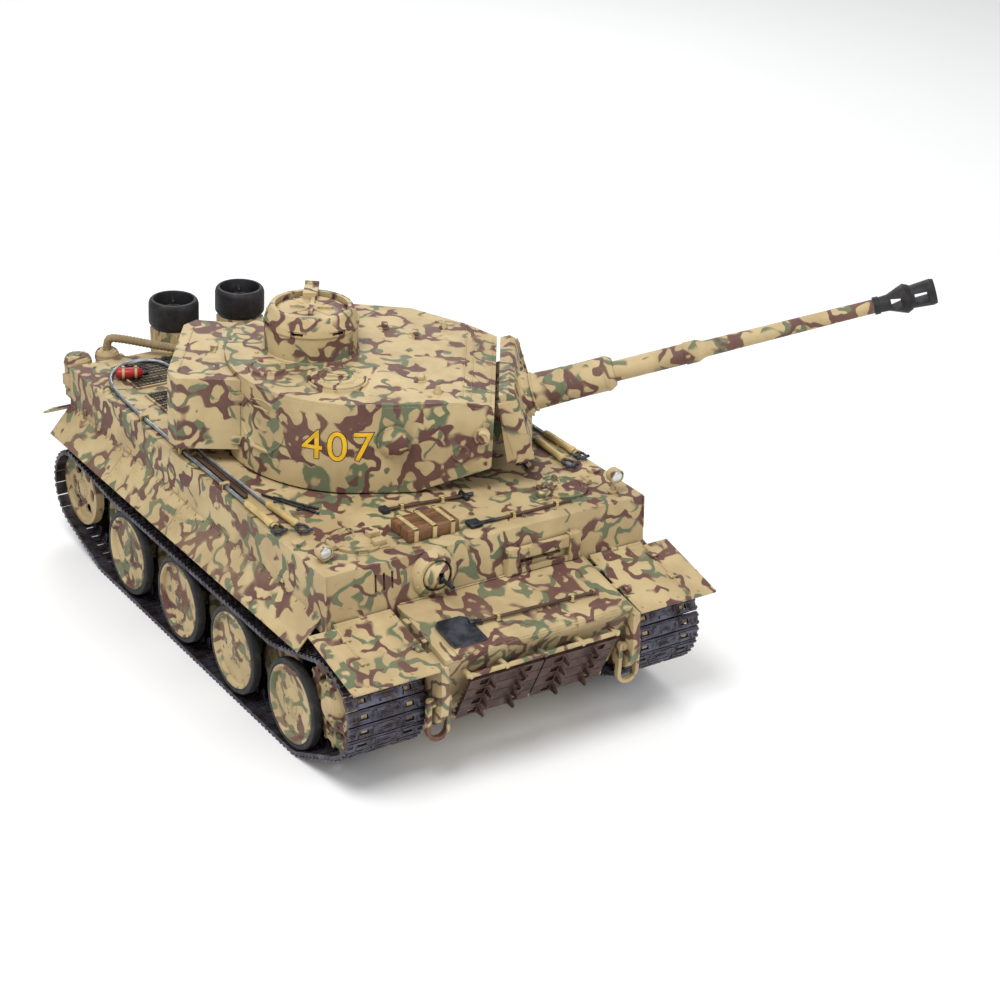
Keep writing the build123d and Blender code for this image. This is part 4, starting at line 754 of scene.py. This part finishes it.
def clip(shape, at):
    """A tool clip: base, hoop and wing nut."""
    at = Vector(at)
    for low, high, bevel in (((-2.2, -1.1, -1.5), (2.2, 1.1, -0.9), 0.0),
                             ((-1.7, -0.8, -1.0), (-1.2, 0.8, 1.5), 0.0),
                             ((1.2, -0.8, -1.0), (1.7, 0.8, 1.5), 0.0),
                             ((-1.9, -0.8, 1.2), (1.9, 0.8, 1.6), 0.12)):
        block(shape, at + Vector(low), at + Vector(high), bevel=bevel, material=2)
    rod(shape, at + Vector((0, -1.6, 2.0)), at + Vector((0, 1.6, 2.0)), 0.45, sides=8, material=2)


tools = bench()
rod(tools, (85.5, -34, 110.4), (91.0, 12, 110.4), 0.95, sides=14, tip=0.85, material=1, bevel=0.2)
rod(tools, (87.0, 11.5, 110.5), (95.4, 11.0, 110.5), 1.7, sides=8, bevel=0.3)
rod(tools, (90.8, 11.8, 110.5), (91.4, 16.8, 110.5), 1.1, sides=10)
block(tools, (82.4, -38, 109.1), (88.4, -33.5, 111.7), bevel=0.5)
rod(tools, (122.5, 12, 110.0), (122.5, 60, 110.0), 0.8, sides=12, material=1, bevel=0.15)
rod(tools, (121.6, 0.5, 110.0), (122.5, 14, 110.0), 1.0, sides=12, tip=0.85)
block(tools, (117.5, -6, 109.1), (125.0, 1.5, 111.4), bevel=0.7)
for at in ((86.4, -26, 110.5), (89.2, -2, 110.5), (122.5, 22, 110.2), (122.5, 50, 110.2)):
    clip(tools, at)
spade = bmesh.ops.create_grid(tools, x_segments=8, y_segments=6, size=0.5)["verts"]
for vert in spade:
    u, v = vert.co.x + 0.5, vert.co.y * 2
    width = 10.2 if u > 0.16 else 10.2 - 3.4 * (1 - u / 0.16) ** 2
    vert.co = Vector((158.2 + 21.4 * u, -40.5 + width * v, 0))
    vert.co.z = glacis_z(vert.co.x) + 1.0 + 1.5 * v * v * (0.3 + 0.5 * u) + 0.6 * (1 - u) * (1 - abs(v))
bmesh.ops.solidify(tools, geom=list({face for vert in spade for face in vert.link_faces}),
                   thickness=0.5)
rod(tools, on_glacis(166, -33, 2.6), on_glacis(166.5, -26, 2.0), 1.5, sides=12, tip=1.15)
rod(tools, on_glacis(166.3, -30, 1.9), on_glacis(168.5, 44, 1.8), 0.95, sides=14, material=1, bevel=0.2)
rod(tools, on_glacis(166.6, 43.6, 1.8), on_glacis(170.4, 44.2, 1.8), 0.9, sides=12, material=1)
for y in (-16, 30):
    x = 166.3 + (y + 30) * 2.2 / 74
    clip(tools, on_glacis(x, y, 1.9))
put(tools, "hand_tools_detailed", "hull", "wood", tool_steel, dark_wood, strap_paint,
    replaces=["hand_tools"])
cargo = bench()
block(cargo, (-22, -94.4, 109.1), (37, -91.6, 110.9), bevel=0.3)
block(cargo, (-18, -90.6, 109.1), (33, -89.6, 110.6), bevel=0.2)
put(cargo, "cleaning_rods_board", "hull", "wood", board_wood)
rods = bench()
for start, end in (((37.7, -83.8, 109.9), (72, -68, 109.9)), ((43.5, -80, 109.9), (67, -65.4, 109.9)),
                   ((48, 70, 109.9), (78, 62, 109.9))):
    rod(rods, start, end, 0.7, sides=10, bevel=0.12)
for x, y in ((48, -78.6), (62, -72.3), (54, 68.4), (70, 64.1)):
    block(rods, (x - 0.8, y - 3.4, ROOF_Z), (x + 0.8, y + 3.4, ROOF_Z + 0.8), bevel=0.1)
    bolt(rods, (x, y - 2.4, ROOF_Z + 0.8), UP)
put(rods, "loose_rods", "hull", "gun_steel", gun_steel)

# ------------------------------------------------------- exhausts and rear
stacks = bench()
for y in (-23.0, 23.0):
    foot, head = Vector((-186.2, y, 80)), Vector((-186.2, y, 134))
    hood = [(36, 13.6), (38, 15.2), (39, 15.5), (50.4, 15.5), (52.4, 14.9), (53.4, 14.0), (53.6, 12.6),
            (52.8, 12.2), (42, 12.0), (38.5, 6.0), (36, 6.0), (36, 13.6)]
    shroud = [(0, 5.9), (0, 12.5), (1.2, 13.3), (35.4, 13.9), (36.2, 13.0), (36.2, 5.9), (0, 5.9)]
    turned(stacks, foot, head, hood, steps=48)
    turned(stacks, foot, head, shroud, steps=48, material=1)
    for at, way in around(foot, 13.2, 18):
        rod(stacks, at + UP * 2, at + way * 0.7 + UP * 34.6, 0.8, sides=8, material=1)
    turned(stacks, foot, head, [(30, 4.2), (30, 5.6), (47.2, 5.8), (47.8, 5.2), (47.8, 4.3), (30, 4.2)],
           steps=32)
    for at, way in around(foot + UP * 49, 5, 3, offset=0.3):
        rod(stacks, at, at + way * 8, 0.8, sides=8)
    for height in (8, 28):
        for lateral in (-9, 9):
            bolt(stacks, (-170.6, y + lateral, 80 + height * 0.4), BACK, 1.1, 0.8, material=1)
    block(stacks, (-172.2, y - 8, 82), (-169.95, y + 8, 92), bevel=0.5, material=1)
put(stacks, "exhaust_stacks", "hull", "black_metal", soot_metal, camo_low, replaces=["exhausts"])

filters = bench()
for side in SIDES.values():
    for x, y, radius in ((-182.5, 89.5, 8.2), (-182.8, 70.0, 7.2)):
        foot, head = Vector((x, side * y, 88)), Vector((x, side * y, 110))
        for level in (3.0, 16.4):
            turned(filters, foot, head, band(level, level + 1.3, radius - 0.3, radius + 0.35), steps=32)
        lid = [(21.4, 0), (21.4, radius - 2.6), (22.0, radius - 3.0), (22.0, 2.2), (22.8, 1.8), (22.8, 0)]
        turned(filters, foot, head, lid, steps=24)
        bolt_ring(filters, foot + UP * 21.4, radius - 1.9, 6, UP, 0.6, 0.5)
put(filters, "filter_bands", "hull", "camo_paint", camo_deck)

# ------------------------------------------------------------ turret details
shell = frame["nodes"]["turret_shell"].data
turret_wall = BVHTree.FromPolygons([vert.co / MM for vert in shell.vertices],
                                   [tuple(face.vertices) for face in shell.polygons])
BESIDE_Y = -90.0            # clear of the turret's right side


def on_wall(x, z, lift):
    """The point of the turret's right side at x and z of its own frame, lifted off it."""
    start = TURRET @ Vector((x, BESIDE_Y, z))
    inward = TURRET.to_3x3() @ Vector((0, 1, 0))
    hit = turret_wall.ray_cast(start, inward)[0]
    return start if hit is None else hit - inward * lift


def wall_number(text, x, z, height, grow, depth, finish, name):
    """Painted figures that follow the turret's side."""
    data = bpy.data.curves.new(name, "FONT")
    data.body = text
    data.size = height * 1.42
    data.space_character = 1.12
    data.offset = grow
    data.align_x = "CENTER"
    data.extrude = 0.12
    holder = bpy.data.objects.new(name, data)
    bpy.context.scene.collection.objects.link(holder)
    mesh = bpy.data.meshes.new_from_object(holder)
    bpy.data.objects.remove(holder)
    digits = bench()
    digits.from_mesh(mesh)
    bpy.data.meshes.remove(mesh)
    bmesh.ops.remove_doubles(digits, verts=digits.verts, dist=0.001)
    for cut in np.arange(-30, 30, 1.5):
        bmesh.ops.bisect_plane(digits, geom=digits.verts[:] + digits.edges[:] + digits.faces[:],
                               plane_co=(cut, 0, 0), plane_no=(1, 0, 0))
    for vert in digits.verts:
        lift = depth if vert.co.z > 0 else -0.3
        vert.co = on_wall(x + vert.co.x, z + vert.co.y, lift)
    put(digits, name, "turret", "camo_paint", finish, smooth=60)


wall_number("407", -8.0, 129.0, 17.0, 0.45, 0.10, number_edge, "number_outline")
wall_number("407", -8.0, 129.0, 17.0, 0.0, 0.22, number_yellow, "number_fill")

fittings = bench()
wall_y = -65.2
turned(fittings, (22.6, wall_y, 141), (22.6, wall_y - 10, 141),
       [(5.4, 0), (5.4, 9.2), (6.0, 9.0), (6.1, 7.6), (8.0, 7.2), (9.0, 5.6), (9.5, 2.6), (9.6, 0)], steps=40)
turned(fittings, (58, -60.6, 132.2), (58, -70, 132.2),
       [(0, 0), (0, 5.6), (1.6, 5.4), (2.2, 4.4), (1.7, 3.4), (1.7, 0)], steps=32)
turned(fittings, (58, 48.2, 132.2), (58, 60, 132.2),
       [(0, 0), (0, 5.6), (2.6, 5.4), (3.2, 4.4), (2.7, 3.4), (2.7, 0)], steps=32)
bolt_ring(fittings, (22.6, wall_y - 6.7, 141), 5.6, 4, (0, -1, 0), 0.8, 0.6, "xz", offset=0.5)
turned(fittings, (69.6, -62.0, 142.4), (69.6, -66, 142.4),
       [(0, 0), (0, 4.4), (1.2, 3.8), (1.6, 2.6), (1.0, 2.2), (1.0, 0)], steps=28)
for x, y in ((40, 58), (40, -62), (-50, 40), (-58, -8)):
    bolt(fittings, (x, y * 0.9, TURRET_ROOF_Z), UP, 1.4, 0.9)
for x, y in ((44, -50), (44, 44), (-40, 52)):
    turned(fittings, (x, y, TURRET_ROOF_Z - 0.2), (x, y, TURRET_ROOF_Z + 4),
           [(0, 0), (0, 2.6), (1.2, 2.5), (2.2, 1.6), (3.4, 1.4), (4.2, 0.9), (4.2, 0)], steps=20)
for start, end in (((57.5, -53), (57.5, 50)), ((62.0, -53), (62.0, 49)), ((72.5, -56), (72.5, 41))):
    drop = max(0.0, (start[0] - 56.0) * 3.5 / 19)
    rod(fittings, (*start, TURRET_ROOF_Z - drop), (*end, TURRET_ROOF_Z - drop), 0.5, sides=8)
for x, y, wide in ((34, -33, 9), (28, 30, 9), (10, 40, 7)):
    low_y, high_y = y - wide / 2, y + wide / 2
    block(fittings, (x - 3, low_y, TURRET_ROOF_Z - 0.2), (x + 3, high_y, TURRET_ROOF_Z + 0.5), bevel=0.2)
    block(fittings, (x - 1.6, low_y + 1.2, TURRET_ROOF_Z + 0.3),
          (x + 2.0, high_y - 1.2, TURRET_ROOF_Z + 2.9), bevel=0.5)
bolt_ring(fittings, (*CUPOLA, TURRET_ROOF_Z + 24.6), 22.9, 12, UP, 0.75, 0.6)
for at, way in around((*CUPOLA, TURRET_ROOF_Z + 4.0), 26.3, 12):
    bolt(fittings, at, way, 0.7, 0.5)
for at, way in around((*CUPOLA, TURRET_ROOF_Z + 18.6), 26.0, 7):
    along = Vector((-way.y, way.x, 0)) * 5.2
    rod(fittings, at - along, at + along, 0.6, sides=8)
bolt_ring(fittings, (*LOADER, TURRET_ROOF_Z + 1.2), 16.3, 8, UP, 0.55, 0.5)
bolt_ring(fittings, (-50, -29, TURRET_ROOF_Z + 1.3), 9.4, 8, UP, 0.5, 0.5)
turned(fittings, (*CUPOLA, TURRET_ROOF_Z - 0.3), (*CUPOLA, TURRET_ROOF_Z + 5),
       [(0.3, 26.4), (0.3, 27.4), (0.8, 27.2), (1.3, 26.4), (0.3, 26.4)], steps=64)
block(fittings, (-84.4, -5, 159.0), (-81.2, 9, 160.3), bevel=0.3)
for y in (-41, 41):
    for z in (124, 150):
        block(fittings, (-68, y - 0.9, z - 2.5), (-62, y + 0.9, z + 2.5), bevel=0.3)
bead(fittings, [(-98, -34, 159.6), (-98, 34, 159.6)], 0.5)
put(fittings, "turret_fittings", "turret", "camo_paint", camo, place=TURRET)

escape = bench()
seam = [on_wall(-50 + 12.5 * math.cos(turn), 140 + 14.5 * math.sin(turn), 0.1)
        for turn in np.linspace(0, 2 * math.pi, 41)]
tube(escape, seam, [0.6], sides=6)
tube(escape, [on_wall(x, 126.0, 0.9) for x in (-56, -52, -48, -44)], [1.2], sides=10)
tube(escape, [on_wall(x, z, lift) for x, z, lift in (
    (-56, 150, 0.2), (-55, 150, 2.2), (-51, 151, 2.4), (-47, 150, 2.2), (-46, 150, 0.2))], [0.55])
put(escape, "escape_hatch", "turret", "camo_paint", camo)

mantlet = bench()
for y in (-45.2, 41.2):
    for z in (-16, -6, 6, 14):
        bolt(mantlet, (35.9, y, z), FORWARD, 1.0, 0.7)
block(mantlet, (8, -31, -11), (27.2, 31, 11), bevel=1.0)
for low_y in (-46.2, 40.2):
    wedge = bmesh.ops.create_cube(mantlet, size=1.0)["verts"]
    for vert in wedge:
        high = vert.co.z > 0
        back_x = 25.0 if high else 20.9
        vert.co = Vector((back_x if vert.co.x < 0 else 26.2, low_y + (vert.co.y + 0.5) * 2.0,
                          13.0 if high else -18.6))
for y, z, radius in ((24, 5, 2.6), (30.5, 5, 2.6), (-24, -3, 2.2)):
    turned(mantlet, (35, y, z), (40, y, z),
           [(-0.3, 0), (-0.3, radius + 0.9), (0.6, radius + 0.7), (0.8, radius), (0.1, radius - 0.6), (0.1, 0)],
           steps=24)
gun_line = ((0, 0, 0), (10, 0, 0))
turned(mantlet, *gun_line, [(40.2, 9.8), (40.6, 11.3), (41.6, 11.3), (42, 9.8), (40.2, 9.8)], steps=40)
bolt_ring(mantlet, (37.6, 0, 0), 12.6, 8, FORWARD, 0.8, 0.8, "yz", offset=0.5)
for along in (58, 82):
    turned(mantlet, *gun_line, band(along, along + 1.4, 9.0, 10.0), steps=40)
put(mantlet, "mantlet_fittings", "gun_cradle", "gun_steel", camo, place=GUN)

# -------------------------------------------------------------- hull details
front = bench()
for at, way in around((138.0, -36.0, 96.0), 11.9, 8, "yz", offset=0.5):
    if way.z > -0.8:
        bolt(front, at, (1, 0.15, 0), 0.8, 0.8)
for y in (12.0, 52.0):
    for z in (87.5, 96.5):
        bolt(front, (138.9, y, z), FORWARD, 1.1, 0.8)
for y in (18, 32, 46):
    bolt(front, (138.7, y, 85.3), FORWARD, 0.7, 0.5)
bead(front, [(137.4, -57.5, 83.9), (137.4, 57.5, 83.9)], 0.55)
for side in SIDES.values():
    bead(front, [(134.6, side * 100.5, 108.6), (136.2, side * 100.5, 90)], 0.5)
    bead(front, [on_glacis(140, side * 58.6, 0), on_glacis(180, side * 58.6, 0)], 0.5)
    for x in (150, 166):
        block(front, (x - 2.4, side * 60.7 - 1.3, glacis_z(x) - 0.8),
              (x + 2.4, side * 60.7 + 1.3, glacis_z(x) + 0.2), bevel=0.25)
for x, y in ((116.6, -58.4), (110.0, 50.0)):
    block(front, (x - 3.8, y - 5.0, ROOF_Z), (x + 3.8, y + 5.0, ROOF_Z + 0.7), bevel=0.25)
    block(front, (x - 2.2, y - 3.8, ROOF_Z + 0.4), (x + 2.6, y + 3.8, ROOF_Z + 4.2), bevel=0.9)
for x, y in ((124.5, 28.0), (124.5, -58.0), (60, -96), (60, 96), (-60, -97), (128, 0)):
    bolt(front, (x, y, ROOF_Z), UP, 1.5, 0.9)
for side in SIDES.values():
    for x in (76, -126):
        tube(front, hoop((x, side * 97.0, ROOF_Z), (0, 2.6, 0), (0, 0, 3.6), 14), [0.7])
put(front, "hull_front_fittings", "hull", "camo_paint", camo)

MUDGUARD_TOP, MUDGUARD_FOOT = (138.7, 82.0), (186.8, 70.6)  # x, z


def guard_z(x):
    slope = (MUDGUARD_FOOT[1] - MUDGUARD_TOP[1]) / (MUDGUARD_FOOT[0] - MUDGUARD_TOP[0])
    return MUDGUARD_TOP[1] + slope * (x - MUDGUARD_TOP[0])


for side_name, side in SIDES.items():
    skirt = bench()
    slope_out = Vector((0, side * (83.1 - 67.6), 14.0 * 0.9)).normalized()
    down = Vector((0, side * (114.2 - 100.8), 67.6 - 83.1))
    for panel in range(4):
        start_x = -169.9 + panel * 75.4
        for part in range(8):
            at = Vector((start_x + 5 + part * 9.3, side * 101.9, 83.4))
            bolt(skirt, at, slope_out, 0.75, 0.6)
        for share in (0.3, 0.55, 0.8):
            at = Vector((start_x + 2.2, side * 100.9, 84.1)) + down * share
            bolt(skirt, at, slope_out, 0.55, 0.45)
    y = side * 100.7
    for x in (-150, -90, -30, 30, 90):
        block(skirt, (x - 3.0, y - 0.8, 86.0), (x + 3.0, y + 0.8, 88.4), bevel=0.25)
    for x in (-60, 20):
        at = Vector((x, side * 101.4, 100.0))
        turned(skirt, at - Vector((0, side * 1.2, 0)), at + Vector((0, side * 2, 0)),
               [(0, 0), (0, 2.0), (1.4, 2.0), (2.0, 1.2), (2.6, 1.2), (2.6, 0)], steps=18)
    bead(skirt, [(-168, side * 100.8, 85.0), (130, side * 100.8, 85.0)], 0.45)
    put(skirt, f"skirt_bolts_{side_name}", "hull", "camo_paint", camo_low)
    guard = bench()
    for y in (66, 78, 90, 104, 111):
        for x in (143, 183.5):
            bolt(guard, (x, side * y, guard_z(x) + 0.6), (0.23, 0, 1), 0.75, 0.5)
    for x in (150, 168):
        y, z = side * 97.5, guard_z(x)
        block(guard, (x - 2.6, y - 2.4, z + 0.4), (x + 2.6, y + 2.4, z + 1.6), bevel=0.3)
    x, y, z = 168.8, side * 66.0, guard_z(168.8)
    block(guard, (x - 3.0, y - 1.6, z + 0.4), (x + 3.0, y + 1.6, z + 2.2), bevel=0.4)
    rod(guard, (x, side * 64, z + 2.4), (x, side * 69, z + 2.4), 0.8, sides=10)
    rod(guard, (186.6, side * 63.5, 70.9), (186.6, side * 113.3, 70.9), 0.75, sides=8)
    put(guard, f"mudguard_fittings_{side_name}", f"mudguard_{side_name}", "camo_paint", camo)
    lid = bench()
    top = Vector((*HATCHES[side_name], ROOF_Z + 1.4))
    turned(lid, top, top + UP, [(0, 11.6), (0.7, 11.2), (0.7, 10.4), (0, 10.0), (0, 11.6)], steps=40)
    tube(lid, hoop(top - Vector((7, 0, 0)), (4, 0, 0), (0, 0, 3.0), 12), [0.6])
    bolt_ring(lid, top, 12.7, 6, UP, 0.55, 0.5, offset=0.2865)
    put(lid, f"hatch_fittings_{side_name}", f"hull_hatch_{side_name}", "camo_paint", camo)

lid = bench()
top = Vector((*LOADER, TURRET_ROOF_Z + 2.7))
turned(lid, top, top + UP, [(0, 10.6), (0.6, 10.2), (0.6, 9.4), (0, 9.0), (0, 10.6)], steps=40)
bolt_ring(lid, top, 12.0, 8, UP, 0.6, 0.5)
put(lid, "loader_lid_fittings", "loader_hatch", "camo_paint", camo, place=TURRET)
lid = bench()
top = Vector((*CUPOLA, TURRET_ROOF_Z + 23.2))
for at, way in around(top, 3.0, 4, offset=0.5):
    rod(lid, at, at + way * 10.5 - UP * 0.4, 0.9, sides=8)
    bolt(lid, at + way * 12.4, UP, 0.8, 0.6)
turned(lid, top - UP * 0.4, top + UP, [(0, 0), (0, 4.4), (1.6, 4.0), (2.0, 0)], steps=24)
put(lid, "cupola_lid_fittings", "cupola_hatch", "camo_paint", camo, place=TURRET)

# --- engine deck: screens over the louvres, lids, straps and hinges ---
deck = bench()
for side in SIDES.values():
    for x0 in (-158, -112):
        low_x, high_x = x0 + 1.0, x0 + 36.6
        low_y, high_y = sorted((side * 38.6, side * 79.4))
        for y in (low_y, high_y):
            block(deck, (low_x, y - 0.7, ROOF_Z - 0.1), (high_x, y + 0.7, ROOF_Z + 1.1), bevel=0.25)
            for x in (low_x + 2, (low_x + high_x) / 2, high_x - 2):
                bolt(deck, (x, y, ROOF_Z + 1.0), UP, 0.6, 0.5)
        for x in (low_x, high_x):
            block(deck, (x - 0.7, low_y, ROOF_Z - 0.1), (x + 0.7, high_y, ROOF_Z + 1.1), bevel=0.25)
        for x in np.arange(low_x + 2.5, high_x - 1, 2.5):
            rod(deck, (x, low_y, ROOF_Z + 0.45), (x, high_y, ROOF_Z + 0.45), 0.2, sides=4, material=1)
        for y in np.arange(low_y + 2.5, high_y - 1, 2.5):
            rod(deck, (low_x, y, ROOF_Z + 0.6), (high_x, y, ROOF_Z + 0.6), 0.2, sides=4, material=1)
for x in (-150, -98):
    for y in (-24, 24):
        bolt(deck, (x, y, ROOF_Z + 1.4), UP, 1.2, 0.8)
block(deck, (-128, -9, ROOF_Z + 1.3), (-112, 9, ROOF_Z + 2.4), bevel=0.5)
for y in (-16, 16):
    block(deck, (-95, y - 3, ROOF_Z + 1.2), (-90, y + 3, ROOF_Z + 2.6), bevel=0.5)
    rod(deck, (-91.5, y - 4, ROOF_Z + 2.0), (-91.5, y + 4, ROOF_Z + 2.0), 0.9, sides=10)
for x in (-162, -76):
    for y in (-88, -60, -30, 30, 60, 88):
        bolt(deck, (x, y, ROOF_Z), UP, 1.0, 0.7)
tube(deck, hoop((-104, 0, ROOF_Z + 1.6), (3.2, 0, 0), (0, 0, 3.6), 12), [0.7])
put(deck, "deck_screens", "hull", "camo_paint", camo_deck, gun_steel)

rear = bench()
for side in SIDES.values():
    low, high = sorted((side * 92, side * 101))
    block(rear, (-180.5, low, 94), (-170.2, high, 101), bevel=0.7)
    block(rear, (-181, low + 2, 86), (-170.2, high - 2, 92), bevel=0.6)
    for z in (96.5, 98.5):
        bolt(rear, (-180.4, (low + high) / 2, z), BACK, 0.8, 0.6)
    rod(rear, (-170.2, side * 36, 60), (-176, side * 36, 60), 3.4, sides=20, bevel=0.4)
    block(rear, (-173.0, side * 36 - 6, 84), (-170.0, side * 36 + 6, 104), bevel=0.5)
for y in (-48, -12, 12, 48):
    for z in (82, 104):
        bolt(rear, (-170.0, y, z), BACK, 1.0, 0.8)
turned(rear, (-169.6, 0, 62), (-176, 0, 62), [(0, 0), (0, 9.5), (1.2, 9.5), (1.8, 8.4), (1.8, 0)], steps=36)
bolt_ring(rear, (-171.2, 0, 62), 7.2, 8, BACK, 0.8, 0.6, "yz")
put(rear, "rear_fittings", "hull", "camo_paint", camo_low)

lenses = bench()
for x, y, z in ((118.7, -92.5, 114.6), (124.0, 87.5, 119.5)):
    turned(lenses, (x, y, z), (x + 10, y, z), [(2.0, 0), (2.0, 3.3), (2.5, 3.3), (3.0, 2.4), (3.3, 0)],
           steps=28)
put(lenses, "lamp_lenses", "hull", "lamp", lamp_glass)

# --- hubs: bolts on the sprockets and idlers ---
for side_name, side in SIDES.items():
    out = Vector((0, side, 0))
    centre = Vector((SPROCKET[0], side * TRACK_Y, SPROCKET[1]))
    ring = bench()
    bolt_ring(ring, centre + out * 15.2, 20.6, 10, out, 0.8, 0.7, "xz")
    bolt_ring(ring, centre + out * 15.2, 11.8, 10, out, 0.7, 0.6, "xz")
    turned(ring, centre, centre + out, [(19.6, 0), (19.6, 4.4), (20.3, 3.8), (20.3, 0)], steps=24)
    bolt_ring(ring, centre + out * 17.6, 8.2, 6, out, 0.7, 0.8, "xz")
    put(ring, f"sprocket_bolts_{side_name}", f"sprocket_{side_name}", "suspension_steel", camo_low)
    centre = Vector((IDLER[0], side * TRACK_Y, IDLER[1]))
    ring = bench()
    bolt_ring(ring, centre + out * 15.8, 4.6, 12, out, 0.5, 0.6, "xz", offset=0.5)
    put(ring, f"idler_bolts_{side_name}", f"idler_{side_name}", "road_wheel", camo_low)

# --------------------------------------------------------- camera and lights
STUDIO_WHITE = (0.93, 0.935, 0.94)
camera_data = bpy.data.cameras.new("camera")
camera_data.lens = 84.12
camera_data.sensor_width = 36.0
camera_data.shift_x = 0.0175
camera_data.clip_start = 0.01
camera = bpy.data.objects.new("camera", camera_data)
bpy.context.scene.collection.objects.link(camera)
bearing, height, roll = math.radians(-34.87), math.radians(26.09), math.radians(3.03)
ahead = Vector((-math.cos(height) * math.cos(bearing), -math.cos(height) * math.sin(bearing),
                -math.sin(height)))
level = ahead.cross(Vector((0, 0, 1))).normalized()
above = level.cross(ahead)
across = math.cos(roll) * level + math.sin(roll) * above
upward = -math.sin(roll) * level + math.cos(roll) * above
camera.matrix_world = Matrix.Translation((1.0287, -0.6298, 0.6645)) @ Matrix(
    (across, upward, -ahead)).transposed().to_4x4()
bpy.context.scene.camera = camera

world = bpy.data.worlds.new("studio")
bpy.context.scene.world = world
world.use_nodes = True
world.node_tree.nodes["Background"].inputs["Color"].default_value = (*STUDIO_WHITE, 1.0)
world.node_tree.nodes["Background"].inputs["Strength"].default_value = 0.62


def lamp(name, place, aim, size, power):
    data = bpy.data.lights.new(name, "AREA")
    data.shape = "DISK"
    data.size = size
    data.energy = power
    light = bpy.data.objects.new(name, data)
    bpy.context.scene.collection.objects.link(light)
    light.location = place
    light.rotation_euler = (Vector(aim) - Vector(place)).to_track_quat("-Z", "Y").to_euler()


lamp("key_light", (0.35, -0.7, 1.5), (0, 0, 0.05), 0.8, 18.0)
lamp("fill_light", (1.3, 0.5, 0.9), (0, 0, 0.05), 1.0, 6.0)
lamp("back_light", (-1.2, 0.6, 1.1), (0, 0, 0.1), 0.8, 8.0)
bpy.context.scene.view_settings.view_transform = "Standard"

floor_mesh = bmesh.new()
bmesh.ops.create_grid(floor_mesh, x_segments=1, y_segments=1, size=6.0)
floor_data = bpy.data.meshes.new("floor")
floor_mesh.to_mesh(floor_data)
floor_mesh.free()
floor = bpy.data.objects.new("floor", floor_data)
bpy.context.scene.collection.objects.link(floor)
paper = Finish("floor_paper")
paper.set(Base_Color=paper.mix(paper.noise(3.0), (0.90, 0.90, 0.90), (0.93, 0.93, 0.93)),
          Roughness=0.9)
floor_data.materials.append(paper.material)
